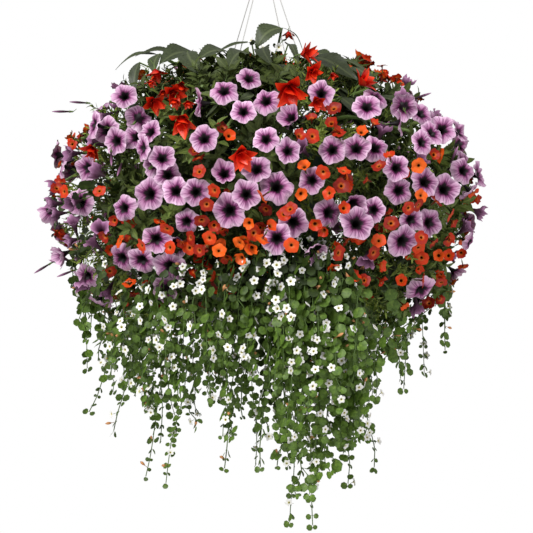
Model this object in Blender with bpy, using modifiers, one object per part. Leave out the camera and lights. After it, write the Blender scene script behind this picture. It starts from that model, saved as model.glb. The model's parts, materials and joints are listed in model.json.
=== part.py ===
"""Mixed petunia hanging basket.

A plain round pot hangs from a bent wire hook by four wire strands. In it grow three petunias,
three trailing million bells, one upright begonia and fourteen trails of bacopa.

Lengths are in metres and +Z is up. The origin is the seat of the hook, the highest point inside
its bend, which rests on whatever holds the basket up. The front of the basket faces -Y.
"""
import math

import bmesh
import bpy
from mathutils import Vector

COLLECTION = "petunia_hanging_basket"
CUTTERS = "cutters"
GAP = 0.0003  # left between pieces that rest on each other
HOLE_CUTTER_DEPTH = 0.020

# Hook and strands
HOOK_WIRE = 0.0020  # radius of the hook's wire
HOOK_INSIDE = 0.0160  # radius of the space inside the hook
EYE_HEIGHT = -0.0560  # centre of the closed eye under the hook
EYE_RADIUS = 0.0090
STRAND_WIRE = 0.0010
STRAND_NAMES = ("strand_back_left", "strand_front_left", "strand_back_right", "strand_front_right")
STRAND_AZIMUTHS = (144.5, -125.5, 54.5, -35.5)
STRAND_EYE_OFFSETS = (-39.0, -13.0, 13.0, 39.0)  # where each strand's loop sits round the eye
STRAND_CLEARANCE = 0.0005  # between a strand's loop and the eye's wire
STRAND_BEND = 0.0058  # radius of the bend that hooks a strand under the rim

# Pot
RIM_HEIGHT = -0.4540  # top face of the rim
RIM_RADIUS = 0.1650
RIM_THICKNESS = 0.0030
POT_TOP_RADIUS = 0.1500  # outside of the wall, just under the rim
POT_BASE_RADIUS = 0.1100
POT_HEIGHT = 0.2000
WALL = 0.0020
FLOOR = 0.0030
HOLE_CIRCLE = 0.1575  # circle of the four strand holes in the rim
HOLE_RADIUS = 0.0030
DRAIN_CIRCLE = 0.0750
DRAIN_RADIUS = 0.0050
DRAIN_COUNT = 6
MIX_BELOW_RIM = 0.0150
TURN_STEPS = 40

# Outline of the ball of flowers: height and radius, from the shoulder down
BALL_OUTLINE = (
    (-0.262, 0.215), (-0.300, 0.278), (-0.344, 0.334), (-0.404, 0.388), (-0.464, 0.420),
    (-0.544, 0.438), (-0.624, 0.425), (-0.684, 0.394), (-0.744, 0.347), (-0.784, 0.300),
)
BALL_DEPTH = 0.95  # the ball is a little shallower than it is wide
CANOPY_TOP = -0.270
CANOPY_BOTTOM = -0.748
CANOPY_THICKNESS = 0.012
CANOPY_ROWS = 8
CANOPY_SEAM = 1.0  # degrees left clear at each side of a canopy

# Plants that make the ball: name, middle azimuth, half width in degrees, columns in the canopy
PETUNIAS = (
    ("petunia_front", -112.0, 36.0, 7),
    ("petunia_right", 8.0, 36.0, 7),
    ("petunia_back", 128.0, 36.0, 7),
)
MILLION_BELLS = (
    ("million_bells_front", -52.0, 24.0, 5),
    ("million_bells_back", 68.0, 24.0, 5),
    ("million_bells_left", 188.0, 24.0, 5),
)
CROWN_CIRCLE = 0.080  # the crowns of those six plants stand on this circle
CROWN_RADIUS = 0.0095
CROWN_HEIGHT = 0.034
BRANCH_RADIUS = 0.0052
BRANCH_INSIDE = 0.022  # how far each branch stops short of its canopy
BRANCH_HEIGHTS = (-0.352, -0.430, -0.505)  # where the branches meet the canopy
BRANCH_TURNS = (0.02, 0.34, -0.24)  # sideways swing of each branch, in half widths

# Begonia: crown, stalks, and the tips of the stalks as azimuth, radius and height
BEGONIA_CROWN_RADIUS = 0.014
BEGONIA_CROWN_HEIGHT = 0.045
STALK_RADIUS = 0.0036
BEGONIA_TIPS = (
    (-90.0, 0.020, -0.238),
    (-175.0, 0.128, -0.282),
    (160.0, 0.208, -0.246),
    (12.0, 0.128, -0.286),
    (-18.0, 0.190, -0.246),
    (98.0, 0.100, -0.262),
    (-80.0, 0.110, -0.268),
    (204.0, 0.060, -0.232),
    (66.0, 0.130, -0.238),
)
# Leaves: name, azimuth, radius, height, length, width, turn, droop in degrees
BEGONIA_LEAVES = (
    ("begonia_leaf_top", -90.0, 0.024, -0.228, 0.075, 0.060, -90.0, -20.0),
    ("begonia_leaf_left", -175.0, 0.130, -0.272, 0.100, 0.062, -175.0, 12.0),
    ("begonia_leaf_far_left", 160.0, 0.210, -0.236, 0.085, 0.040, 160.0, 12.0),
    ("begonia_leaf_right", 12.0, 0.130, -0.276, 0.095, 0.060, 12.0, 12.0),
    ("begonia_leaf_far_right", -18.0, 0.192, -0.236, 0.080, 0.040, -18.0, 14.0),
    ("begonia_leaf_back", 98.0, 0.102, -0.252, 0.095, 0.060, 98.0, 18.0),
)
LEAF_THICKNESS = 0.0016
# Flowers: name, azimuth, radius, height of the top
BEGONIA_FLOWERS = (
    ("begonia_flower_front", -80.0, 0.118, -0.2690),
    ("begonia_flower_left", 204.0, 0.076, -0.2330),
    ("begonia_flower_back", 66.0, 0.138, -0.2390),
)

# Bacopa trails: azimuth over the rim, then azimuth, radius and height of the tip
TRAILS = (
    (-174.0, -174.0, 0.354, -0.964),
    (-156.0, -157.0, 0.310, -0.990),
    (-140.0, -142.0, 0.285, -1.070),
    (-114.0, -124.0, 0.330, -1.066),
    (-100.0, -103.0, 0.290, -1.038),
    (-84.0, -91.0, 0.290, -1.034),
    (-69.0, -74.0, 0.200, -1.152),
    (-54.0, -64.0, 0.215, -1.156),
    (-24.0, -42.0, 0.205, -1.088),
    (-9.0, -16.0, 0.216, -1.070),
    (8.0, 4.0, 0.285, -0.850),
    (36.0, 40.0, 0.220, -1.060),
    (92.0, 96.0, 0.240, -1.110),
    (166.0, 152.0, 0.250, -1.040),
)
TRAIL_POINTS = 14
TRAIL_RADIUS = 0.0125


def make_collection(name):
    """Make an empty collection in the scene."""
    group = bpy.data.collections.new(name)
    bpy.context.scene.collection.children.link(group)
    return group


def make_material(name, colour, roughness, metallic=0.0):
    """Make a plain material from a linear colour."""
    material = bpy.data.materials.new(name)
    material.use_nodes = True
    shader = material.node_tree.nodes["Principled BSDF"]
    shader.inputs["Base Color"].default_value = (*colour, 1.0)
    shader.inputs["Roughness"].default_value = roughness
    shader.inputs["Metallic"].default_value = metallic
    material.diffuse_color = (*colour, 1.0)
    return material


def link_object(name, data, material, group):
    """Make an object from its data, give it a material and put it in a collection."""
    item = bpy.data.objects.new(name, data)
    group.objects.link(item)
    if material:
        data.materials.append(material)
    return item


def mesh_object(name, points, faces, material, group):
    """Make a mesh object whose faces all point outwards."""
    mesh = bpy.data.meshes.new(name)
    mesh.from_pydata([tuple(p) for p in points], [], faces)
    mesh.validate()
    return link_object(name, mesh, material, group)


def cylinder(name, radius, depth, centre, group):
    """A closed cylinder that stands upright, used as a cutter."""
    mesh = bpy.data.meshes.new(name)
    work = bmesh.new()
    bmesh.ops.create_cone(
        work, cap_ends=True, segments=16, radius1=radius, radius2=radius, depth=depth
    )
    work.to_mesh(mesh)
    work.free()
    item = link_object(name, mesh, None, group)
    item.location = centre
    item.hide_render = True
    item.display_type = "WIRE"
    return item


def turned(name, profile, material, group):
    """Turn a profile of radius and height round the Z axis into a closed solid."""
    points = [(radius, 0.0, height) for radius, height in profile]
    edges = [(i, i + 1) for i in range(len(points) - 1)]
    mesh = bpy.data.meshes.new(name)
    mesh.from_pydata(points, edges, [])
    item = link_object(name, mesh, material, group)
    screw = item.modifiers.new("turn", "SCREW")
    screw.axis = "Z"
    screw.steps = TURN_STEPS
    screw.render_steps = TURN_STEPS
    screw.use_merge_vertices = True
    screw.merge_threshold = 0.00005
    screw.use_smooth_shade = True
    return item


def tube(name, points, radius, sides, material, group, radii=None):
    """A solid round bar that follows a list of points; radii scales each point's radius."""
    curve = bpy.data.curves.new(name, "CURVE")
    curve.dimensions = "3D"
    curve.bevel_depth = radius
    curve.bevel_resolution = (sides - 4) // 2
    curve.use_fill_caps = True
    line = curve.splines.new("POLY")
    line.points.add(len(points) - 1)
    for index, point in enumerate(points):
        line.points[index].co = (*point, 1.0)
        line.points[index].radius = radii[index] if radii else 1.0
    return link_object(name, curve, material, group)


def tube_mesh(name, points, radius, sides, group, radii=None):
    """The same bar as a plain mesh, ready to be fused to another."""
    bar = tube(name + "_line", points, radius, sides, None, group, radii)
    bpy.context.view_layer.update()
    graph = bpy.context.evaluated_depsgraph_get()
    mesh = bpy.data.meshes.new_from_object(bar.evaluated_get(graph))
    work = bmesh.new()
    work.from_mesh(mesh)
    bmesh.ops.remove_doubles(work, verts=work.verts, dist=0.00001)
    bmesh.ops.recalc_face_normals(work, faces=work.faces)
    work.to_mesh(mesh)
    work.free()
    bpy.data.objects.remove(bar)
    item = link_object(name, mesh, None, group)
    item.hide_render = True
    item.display_type = "WIRE"
    return item


def combine(item, tool, operation):
    """Add or cut one solid with another."""
    step = item.modifiers.new(operation.lower(), "BOOLEAN")
    step.operation = operation
    step.solver = "EXACT"
    step.object = tool


def polar(azimuth, radius, height):
    """A point at an azimuth in degrees, a radius from the basket's axis and a height."""
    angle = math.radians(azimuth)
    return Vector((radius * math.cos(angle), radius * math.sin(angle), height))


def smooth_path(points, count):
    """Points spaced along a smooth curve that passes through the given ones."""
    spots = [Vector(p) for p in points]
    spots = [spots[0] * 2 - spots[1]] + spots + [spots[-1] * 2 - spots[-2]]
    spans = len(spots) - 3
    path = []
    for index in range(count):
        place = index / (count - 1) * spans
        span = min(int(place), spans - 1)
        t = place - span
        a, b, c, d = spots[span:span + 4]
        path.append(
            0.5 * (2 * b + (c - a) * t + (2 * a - 5 * b + 4 * c - d) * t ** 2
                   + (3 * b - a - 3 * c + d) * t ** 3)
        )
    return path


def outline_radius(height):
    """Radius of the ball of flowers at a height."""
    for (upper, wide), (lower, next_wide) in zip(BALL_OUTLINE, BALL_OUTLINE[1:]):
        if height >= lower:
            t = (upper - height) / (upper - lower)
            return wide + (next_wide - wide) * t
    return BALL_OUTLINE[-1][1]


def ball_point(azimuth, height, inside=0.0):
    """A point on the ball of flowers, or a given depth inside it."""
    angle = math.radians(azimuth)
    radius = outline_radius(height) - inside
    return Vector((radius * math.cos(angle), radius * BALL_DEPTH * math.sin(angle), height))


# ---------------------------------------------------------------- hook and strands

def make_hook(material, group):
    """One bent wire: an open hook above, a short shank and a closed eye below."""
    bend = HOOK_INSIDE + HOOK_WIRE
    centre = Vector((0.0, 0.0, -HOOK_INSIDE))
    path = []
    for step in range(19):
        angle = math.radians(205.0 - step * 13.0)
        path.append(centre + Vector((bend * math.cos(angle), 0.0, bend * math.sin(angle))))
    path.append(Vector((0.0045, 0.0, -0.0345)))
    path.append(Vector((0.0012, 0.0, -0.0385)))
    path.append(Vector((0.0, 0.0, -0.0430)))
    eye = Vector((0.0, 0.0, EYE_HEIGHT))
    for step in range(1, 17):
        angle = math.radians(90.0 - step * 20.0)
        path.append(eye + Vector((EYE_RADIUS * math.cos(angle), 0.0, EYE_RADIUS * math.sin(angle))))
    return tube("hook", path, HOOK_WIRE, 8, material, group)


def make_strand(name, azimuth, eye_offset, material, group):
    """A taut wire: looped over the hook's eye above, hooked through the pot's rim below."""
    turn = math.radians(eye_offset)
    outward = Vector((math.sin(turn), 0.0, -math.cos(turn)))
    side = Vector((0.0, math.copysign(1.0, math.sin(math.radians(azimuth))), 0.0))
    bar = Vector((0.0, 0.0, EYE_HEIGHT)) + outward * EYE_RADIUS
    loop = HOOK_WIRE + STRAND_WIRE + STRAND_CLEARANCE
    path = []
    for step in range(11):
        angle = math.radians(340.0 - step * 25.0)
        path.append(bar + outward * loop * math.cos(angle) + side * loop * math.sin(angle))
    path.append(polar(azimuth, HOLE_CIRCLE, RIM_HEIGHT + 0.004))
    path.append(polar(azimuth, HOLE_CIRCLE, RIM_HEIGHT - RIM_THICKNESS - 0.002))
    for step in range(7):
        angle = math.radians(180.0 + step * 30.0)
        radius = HOLE_CIRCLE + STRAND_BEND * (1.0 + math.cos(angle))
        height = RIM_HEIGHT - RIM_THICKNESS - 0.004 + STRAND_BEND * math.sin(angle)
        path.append(polar(azimuth, radius, height))
    path.append(polar(azimuth, HOLE_CIRCLE + 2 * STRAND_BEND, RIM_HEIGHT + 0.002))
    return tube(name, path, STRAND_WIRE, 6, material, group)


# ---------------------------------------------------------------- pot and mix

def make_pot(material, group, cutters):
    """A tapered pot with a flat rim, four strand holes in it and drain holes in the floor."""
    base = RIM_HEIGHT - POT_HEIGHT
    profile = (
        (0.0, base + FLOOR),
        (POT_BASE_RADIUS - WALL, base + FLOOR),
        (POT_TOP_RADIUS - WALL, RIM_HEIGHT),
        (RIM_RADIUS, RIM_HEIGHT),
        (RIM_RADIUS, RIM_HEIGHT - RIM_THICKNESS),
        (POT_TOP_RADIUS, RIM_HEIGHT - RIM_THICKNESS),
        (POT_BASE_RADIUS, base),
        (0.0, base),
    )
    pot = turned("pot", profile, material, group)
    for name, azimuth in zip(STRAND_NAMES, STRAND_AZIMUTHS):
        spot = polar(azimuth, HOLE_CIRCLE, RIM_HEIGHT)
        hole = cylinder(name + "_hole", HOLE_RADIUS, HOLE_CUTTER_DEPTH, spot, cutters)
        combine(pot, hole, "DIFFERENCE")
    for index in range(DRAIN_COUNT):
        spot = polar(360.0 * index / DRAIN_COUNT, DRAIN_CIRCLE, base)
        drain = cylinder("drain_%d" % (index + 1), DRAIN_RADIUS, HOLE_CUTTER_DEPTH, spot, cutters)
        combine(pot, drain, "DIFFERENCE")
    return pot


def make_mix(material, group):
    """The root ball and potting mix, which fill the pot to just under its rim."""
    low = RIM_HEIGHT - POT_HEIGHT + FLOOR + GAP
    high = RIM_HEIGHT - MIX_BELOW_RIM
    slope = (POT_TOP_RADIUS - POT_BASE_RADIUS) / (POT_HEIGHT - FLOOR)
    inner = POT_BASE_RADIUS - WALL - GAP * 1.2
    profile = (
        (0.0, high),
        (inner + slope * (high - low), high),
        (inner, low),
        (0.0, low),
    )
    return turned("potting_mix", profile, material, group)


# ---------------------------------------------------------------- plants

def make_crown(name, spot, radius, height, material, group):
    """The woody foot of a plant, which stands on the mix."""
    mesh = bpy.data.meshes.new(name)
    work = bmesh.new()
    bmesh.ops.create_cone(
        work, cap_ends=True, segments=10, radius1=radius, radius2=radius * 0.6, depth=height
    )
    bmesh.ops.translate(work, verts=work.verts, vec=spot + Vector((0.0, 0.0, height / 2)))
    work.to_mesh(mesh)
    work.free()
    return link_object(name, mesh, material, group)


def make_stems(name, azimuth, half_width, material, group, cutters):
    """A crown with three branches that reach up and out to the plant's canopy."""
    foot = polar(azimuth, CROWN_CIRCLE, RIM_HEIGHT - MIX_BELOW_RIM + GAP)
    stems = make_crown(name + "_stems", foot, CROWN_RADIUS, CROWN_HEIGHT, material, group)
    for index, (height, swing) in enumerate(zip(BRANCH_HEIGHTS, BRANCH_TURNS)):
        start = foot + Vector((0.0, 0.0, CROWN_HEIGHT * (0.84 - 0.27 * index)))
        end = ball_point(azimuth + swing * half_width, height, CANOPY_THICKNESS + BRANCH_INSIDE)
        middle = start.lerp(end, 0.45)
        middle.z = -0.374 - 0.020 * index
        path = smooth_path((start, middle, end), 10)
        radii = [1.0 - 0.055 * step for step in range(len(path))]
        branch_name = "%s_branch_%d" % (name, index)
        branch = tube_mesh(branch_name, path, BRANCH_RADIUS, 6, cutters, radii)
        combine(stems, branch, "UNION")
    return stems


def make_canopy(name, azimuth, half_width, columns, material, group):
    """A plant's leaves and flowers as one curved pad that follows the ball's outline."""
    low_side = azimuth - half_width + CANOPY_SEAM
    high_side = azimuth + half_width - CANOPY_SEAM
    points = []
    for row in range(CANOPY_ROWS):
        height = CANOPY_TOP + (CANOPY_BOTTOM - CANOPY_TOP) * row / (CANOPY_ROWS - 1)
        for column in range(columns):
            turn = low_side + (high_side - low_side) * column / (columns - 1)
            bump = 0.006 * math.sin(1.9 * column + 2.3 * row + azimuth)
            drop = 0.0
            if row == CANOPY_ROWS - 1:
                drop = 0.020 * math.sin(2.7 * column + azimuth)
            points.append(ball_point(turn, height + drop, 0.003 + bump - abs(bump) * 0.4))
    faces = []
    for row in range(CANOPY_ROWS - 1):
        for column in range(columns - 1):
            corner = row * columns + column
            faces.append((corner, corner + columns, corner + columns + 1, corner + 1))
    canopy = mesh_object(name + "_canopy", points, faces, material, group)
    smooth = canopy.modifiers.new("smooth", "SUBSURF")
    smooth.levels = 1
    smooth.render_levels = 1
    shell = canopy.modifiers.new("shell", "SOLIDIFY")
    shell.thickness = CANOPY_THICKNESS
    shell.offset = -1.0
    return canopy


def make_begonia_stems(material, group, cutters):
    """The begonia's crown with its arching stalks, one for each leaf and flower."""
    foot = Vector((0.0, 0.0, RIM_HEIGHT - MIX_BELOW_RIM + GAP))
    stems = make_crown(
        "begonia_stems", foot, BEGONIA_CROWN_RADIUS, BEGONIA_CROWN_HEIGHT, material, group
    )
    for index, (azimuth, radius, height) in enumerate(BEGONIA_TIPS):
        start = foot + polar(azimuth, 0.0055, 0.012 + 0.0026 * index)
        middle = polar(azimuth, 0.022 + radius * 0.30, -0.360)
        path = smooth_path((start, middle, polar(azimuth, radius, height)), 9)
        radii = [1.0 - 0.07 * step for step in range(len(path))]
        stalk = tube_mesh("begonia_stalk_%d" % index, path, STALK_RADIUS, 6, cutters, radii)
        combine(stems, stalk, "UNION")
    return stems


def make_begonia_leaf(name, place, length, width, turn, droop, material, group):
    """A lopsided pointed leaf that arches from its stalk, on its own local axes."""
    rows = 5
    points = []
    for row in range(rows):
        along = row / (rows - 1)
        half = 0.5 * width * math.sin(math.pi * min(1.0, along * 0.86 + 0.10)) ** 0.8
        sag = -0.30 * length * along ** 2
        for column in range(3):
            across = column - 1
            lopsided = 1.15 if across < 0 else 0.85
            fold = 0.16 * width * abs(across) ** 1.5
            points.append((length * along, half * across * lopsided, sag + fold))
    faces = []
    for row in range(rows - 1):
        for column in range(2):
            corner = row * 3 + column
            faces.append((corner, corner + 3, corner + 4, corner + 1))
    leaf = mesh_object(name, points, faces, material, group)
    smooth = leaf.modifiers.new("smooth", "SUBSURF")
    smooth.levels = 1
    smooth.render_levels = 1
    shell = leaf.modifiers.new("shell", "SOLIDIFY")
    shell.thickness = LEAF_THICKNESS
    shell.offset = 0.0
    leaf.location = place
    leaf.rotation_euler = (0.0, math.radians(droop), math.radians(turn))
    return leaf


def make_begonia_flower(name, place, material, group):
    """A drooping red flower as one closed bell with a pointed mouth."""
    profile = (
        (0.0, 0.0), (0.0035, -0.0010), (0.0060, -0.0060), (0.0095, -0.0170),
        (0.0125, -0.0270), (0.0110, -0.0330), (0.0050, -0.0400), (0.0, -0.0440),
    )
    flower = turned(name, profile, material, group)
    flower.modifiers["turn"].steps = 10
    flower.modifiers["turn"].render_steps = 10
    flower.location = place
    return flower


def make_trail(name, rim_azimuth, tip_azimuth, reach, depth, material, group):
    """A bacopa stem with its sleeve of small leaves, from the mix, over the rim and down."""
    swing = tip_azimuth - rim_azimuth
    low = depth + 0.45 * (-0.560 - depth)
    path = smooth_path(
        (
            polar(rim_azimuth, 0.122, RIM_HEIGHT - MIX_BELOW_RIM + 0.0065),
            polar(rim_azimuth, 0.150, RIM_HEIGHT + 0.016),
            polar(rim_azimuth, 0.182, RIM_HEIGHT + 0.004),
            polar(rim_azimuth + 0.15 * swing, 0.208, -0.520),
            polar(rim_azimuth + 0.35 * swing, 0.222, -0.640),
            polar(rim_azimuth + 0.75 * swing, reach * 0.40 + 0.125, low),
            polar(tip_azimuth, reach, depth),
        ),
        TRAIL_POINTS,
    )
    radii = []
    for index in range(TRAIL_POINTS):
        along = index / (TRAIL_POINTS - 1)
        radii.append(0.38 + 0.62 * math.sin(math.pi * min(1.0, along ** 1.5 * 0.93)))
    return tube(name, path, TRAIL_RADIUS, 6, material, group, radii)


def build():
    """Build the whole basket."""
    for item in list(bpy.data.objects):
        bpy.data.objects.remove(item)
    group = make_collection(COLLECTION)
    cutters = make_collection(CUTTERS)

    wire = make_material("galvanised_wire", (0.55, 0.56, 0.56), 0.35, 1.0)
    plastic = make_material("dark_green_plastic", (0.020, 0.045, 0.025), 0.45)
    soil = make_material("potting_mix", (0.045, 0.028, 0.018), 0.95)
    stem = make_material("green_stem", (0.110, 0.170, 0.045), 0.60)
    petal = make_material("lilac_petal", (0.730, 0.500, 0.650), 0.60)
    orange = make_material("orange_petal", (0.680, 0.075, 0.012), 0.60)
    red = make_material("red_petal", (0.560, 0.020, 0.010), 0.50)
    dark_leaf = make_material("dark_leaf", (0.055, 0.075, 0.040), 0.50)
    trail_leaf = make_material("trail_leaf", (0.095, 0.150, 0.020), 0.55)

    make_hook(wire, group)
    for name, azimuth, offset in zip(STRAND_NAMES, STRAND_AZIMUTHS, STRAND_EYE_OFFSETS):
        make_strand(name, azimuth, offset, wire, group)
    make_pot(plastic, group, cutters)
    make_mix(soil, group)
    for name, azimuth, half_width, columns in PETUNIAS:
        make_stems(name, azimuth, half_width, stem, group, cutters)
        make_canopy(name, azimuth, half_width, columns, petal, group)
    for name, azimuth, half_width, columns in MILLION_BELLS:
        make_stems(name, azimuth, half_width, stem, group, cutters)
        make_canopy(name, azimuth, half_width, columns, orange, group)
    make_begonia_stems(stem, group, cutters)
    for name, azimuth, radius, height, length, width, turn, droop in BEGONIA_LEAVES:
        spot = polar(azimuth, radius, height)
        make_begonia_leaf(name, spot, length, width, turn, droop, dark_leaf, group)
    for name, azimuth, radius, height in BEGONIA_FLOWERS:
        make_begonia_flower(name, polar(azimuth, radius, height), red, group)
    for index, (rim_azimuth, tip_azimuth, reach, depth) in enumerate(TRAILS):
        name = "bacopa_trail_%02d" % (index + 1)
        make_trail(name, rim_azimuth, tip_azimuth, reach, depth, trail_leaf, group)


build()
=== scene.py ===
"""Looks of the mixed petunia hanging basket.

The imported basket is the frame. This script adds the living surface: petunias, million bells,
a begonia and trailing bacopa, each with its own leaves, stems and flowers.
Lengths are in metres unless a name says cm. The front of the basket faces -Y.
"""
import json
import math
import random

import bpy
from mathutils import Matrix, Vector, noise

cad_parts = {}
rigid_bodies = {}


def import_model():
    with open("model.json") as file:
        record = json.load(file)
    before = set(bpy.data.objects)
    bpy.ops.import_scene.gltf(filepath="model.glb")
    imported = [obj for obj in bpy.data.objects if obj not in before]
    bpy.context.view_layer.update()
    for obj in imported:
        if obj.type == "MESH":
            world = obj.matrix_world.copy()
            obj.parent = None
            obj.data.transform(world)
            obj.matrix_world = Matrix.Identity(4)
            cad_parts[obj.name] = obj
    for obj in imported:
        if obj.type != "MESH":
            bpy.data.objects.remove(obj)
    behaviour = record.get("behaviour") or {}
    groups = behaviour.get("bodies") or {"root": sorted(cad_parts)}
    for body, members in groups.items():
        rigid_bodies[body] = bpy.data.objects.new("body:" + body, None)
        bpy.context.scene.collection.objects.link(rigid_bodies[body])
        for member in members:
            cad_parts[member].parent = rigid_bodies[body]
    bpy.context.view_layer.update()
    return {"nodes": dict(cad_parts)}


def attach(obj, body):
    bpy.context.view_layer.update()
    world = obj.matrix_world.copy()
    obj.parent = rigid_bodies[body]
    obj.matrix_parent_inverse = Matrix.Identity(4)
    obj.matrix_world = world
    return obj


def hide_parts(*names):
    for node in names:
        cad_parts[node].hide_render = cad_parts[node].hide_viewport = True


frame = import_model()

EYE = Vector((0.005, -2.67, -0.677))  # where the basket is looked at from
BALL_OUTLINE = (  # height and radius of the ball of flowers
    (-0.250, 0.010), (-0.256, 0.100), (-0.268, 0.190), (-0.300, 0.265), (-0.344, 0.322),
    (-0.404, 0.376), (-0.464, 0.408), (-0.544, 0.424), (-0.624, 0.412), (-0.684, 0.385),
    (-0.744, 0.340), (-0.784, 0.280), (-0.800, 0.150), (-0.804, 0.010),
)
BALL_DEPTH = 0.925
BALL_MIDDLE = Vector((0.0, 0.0, -0.520))
BALL_CURVE = (0.18, 0.17, 0.072)  # small where the ball is flat, so that flowers face that way
UP = Vector((0.0, 0.0, 1.0))
SPIN = 6.28  # the most that a flower is spun about its own axis, in radians
BLADE, STALK, OTHER = 0, 1, 2  # the parts of a shape: petals or leaves, stems, anything else
SPOT_VALUES = (  # what a spot says after its place
    ("facing", "FLOAT_VECTOR"), ("spin", "FLOAT"), ("size", "FLOAT"), ("kind", "INT"),
    ("tint", "FLOAT"),
)
PLANTS = (  # name, azimuth of its middle in degrees and half its width
    ("petunia_front", -112.0, 36.0),
    ("million_bells_front", -52.0, 24.0),
    ("petunia_right", 8.0, 36.0),
    ("million_bells_back", 68.0, 24.0),
    ("petunia_back", 128.0, 36.0),
    ("million_bells_left", 188.0, 24.0),
)

# The petunias of the front: centimetres across and down from the hook, then any set size
PETUNIAS_OPEN = (
    (-28, 33.5), (-8, 32.5), (-3, 30), (-4, 37), (0.5, 34.5), (-12, 42), (0.5, 42.5), (11.5, 33),
    (5, 45.5), (-1.5, 48), (2.5, 51, 1.12), (9.5, 50.5), (13.5, 44), (-3.5, 53.5), (-7, 56.5, 1.12),
    (-13.5, 53), (-15.5, 58.5), (13.5, 57), (6, 59), (2.5, 62), (18, 59, 1.12), (-32, 40),
    (-26.5, 41), (-22.5, 41), (-30, 43.5), (-23.5, 46.5), (-20, 46.5), (-19, 49), (-23.5, 53, 1.12),
    (-17.5, 52.5), (-28, 56), (-37.5, 55.5), (-35.5, 48), (20.5, 36), (31.5, 37), (22.5, 33.5),
    (18.5, 44), (22.5, 43.5), (33, 41.5), (35, 40), (30, 44), (26.5, 48), (33, 50), (27, 52.5),
    (36.5, 52, 1.12), (40, 48.5), (22, 56.5), (29.5, 58.5), (33.5, 59), (27.5, 62.5, 1.12),
    (31.5, 72.5, 1.12), (-28.5, 66), (-24.5, 66.5), (-18.5, 67, 1.12), (-21.5, 62), (-36, 70.5),
)
# Petunias that face the left, and ones that face the right
PETUNIAS_LEFT = ((-13, 35), (-32, 40), (-23.5, 44))
PETUNIAS_RIGHT = ((26, 40), (42.5, 49.5), (35.5, 38.5))
PETUNIA_TRUMPETS = (  # half-open ones: across, down and the way each faces
    (-33.1, 37.8, (-1.0, -0.3, -0.2)), (-36.1, 42.2, (-1.0, -0.3, 0.1)),
    (-37.9, 45.2, (-1.0, -0.4, 0.0)), (-32.3, 48.6, (-0.6, 0.3, 0.6)),
    (-42.5, 55.2, (-1.0, -0.1, 0.0)), (-37.5, 54.8, (-0.8, -0.4, -0.4)),
    (-38.3, 58.6, (-0.2, -0.2, 1.0)), (-32.7, 60.2, (-0.2, -0.9, 0.5)),
    (-34.3, 62.8, (-0.7, -0.2, 0.8)), (-40.7, 65.6, (-0.9, -0.2, 0.5)),
    (-35.9, 70.4, (-0.3, -0.3, -1.0)), (-31.5, 73.2, (-0.4, -0.2, -1.0)),
    (25.0, 39.5, (0.2, -0.6, 0.7)), (32.0, 46.0, (0.7, -0.5, 0.5)),
    (40.5, 60.0, (0.9, -0.1, 0.6)), (20.5, 66.4, (-0.2, -0.5, -1.0)),
    (42.6, 57.0, (1.0, 0.1, -0.3)), (30.6, 76.0, (0.3, 0.2, -1.0)),
    (27.6, 34.2, (0.0, 0.3, 1.0)), (7.4, 43.6, (-0.5, -0.5, 0.5)),
)
PETUNIA_BUDS = (  # furled ones, given the same way
    (-36.6, 35.2, (-1.0, -0.2, 0.1)), (-40.0, 37.0, (-1.0, -0.2, -0.1)),
    (-43.6, 68.0, (-0.9, 0.0, -0.4)), (-39.4, 69.0, (-0.8, -0.2, -0.5)),
    (31.5, 33.6, (0.8, -0.2, 0.5)), (-31.0, 46.4, (0.1, -0.9, -0.9)),
    (-28.6, 47.2, (0.1, -0.9, -0.8)), (38.0, 45.6, (0.4, -0.3, 0.9)),
)
# Petunias with a cupped rim, and ones that turn their back
PETUNIAS_CUPPED = ((5, 37.5), (-8, 49), (18, 55), (10, 64.5), (-18, 64.5))
PETUNIAS_TURNED = ((-25, 38), (28, 35.5), (-19.5, 72))

# The million bells of the front: centimetres across and down
MILLION_BELLS = (
    (-41.5, 52), (-33, 52.5), (-38, 53.5), (-13, 49), (-10, 52.5), (-30, 58.5), (-10, 59.5),
    (-12.5, 58.5), (-7, 41.5), (6.5, 42.5), (9.5, 38), (10.5, 42.5), (8.5, 47.5), (12.5, 48.5),
    (7.5, 53), (-3, 59), (6, 59), (5, 56), (14.5, 41), (14, 36), (13.5, 39), (-11, 62), (1.5, 60),
    (-2, 61), (-0.5, 54), (13, 53), (-11.5, 55.5), (0, 62), (-5, 63), (-3.5, 63.5), (-2.5, 64),
    (-9, 64.5), (-7.5, 66), (-4.5, 66), (5, 63), (14, 68), (15, 65), (-11, 69.5), (-9, 71),
    (-6.5, 72), (18, 69.5), (10, 59), (16, 56), (12, 60.5), (-15, 61.5), (-19.5, 60), (-20, 63),
    (-24.5, 62.5), (-16.5, 63), (-15, 64), (-13, 64.5), (-31.5, 63), (-29, 62.5), (-23, 71.5),
    (-26, 73), (-26.5, 76.5), (-28, 75.5), (-27, 71), (-14, 69), (-12, 68.5), (15, 41.5),
    (16, 48.5), (15.5, 51.5), (24.5, 46), (23, 47.5), (31, 47.5), (32, 46), (35.5, 45.5),
    (31.5, 53.5), (34.5, 54.5), (31, 55.5), (29, 56), (37.5, 57.5), (31, 61), (25.5, 59), (42, 53),
    (19.5, 41), (22, 39), (23, 62.5), (22, 65), (23.5, 67.5), (20, 70.5), (23.5, 70.5),
    (27.5, 70.5), (28, 75.5), (32, 70.5), (35.5, 71), (31, 64), (34, 63), (35, 65.5), (31.5, 66),
    (37, 65.5), (39.5, 65), (35, 74), (33, 75),
)

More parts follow.
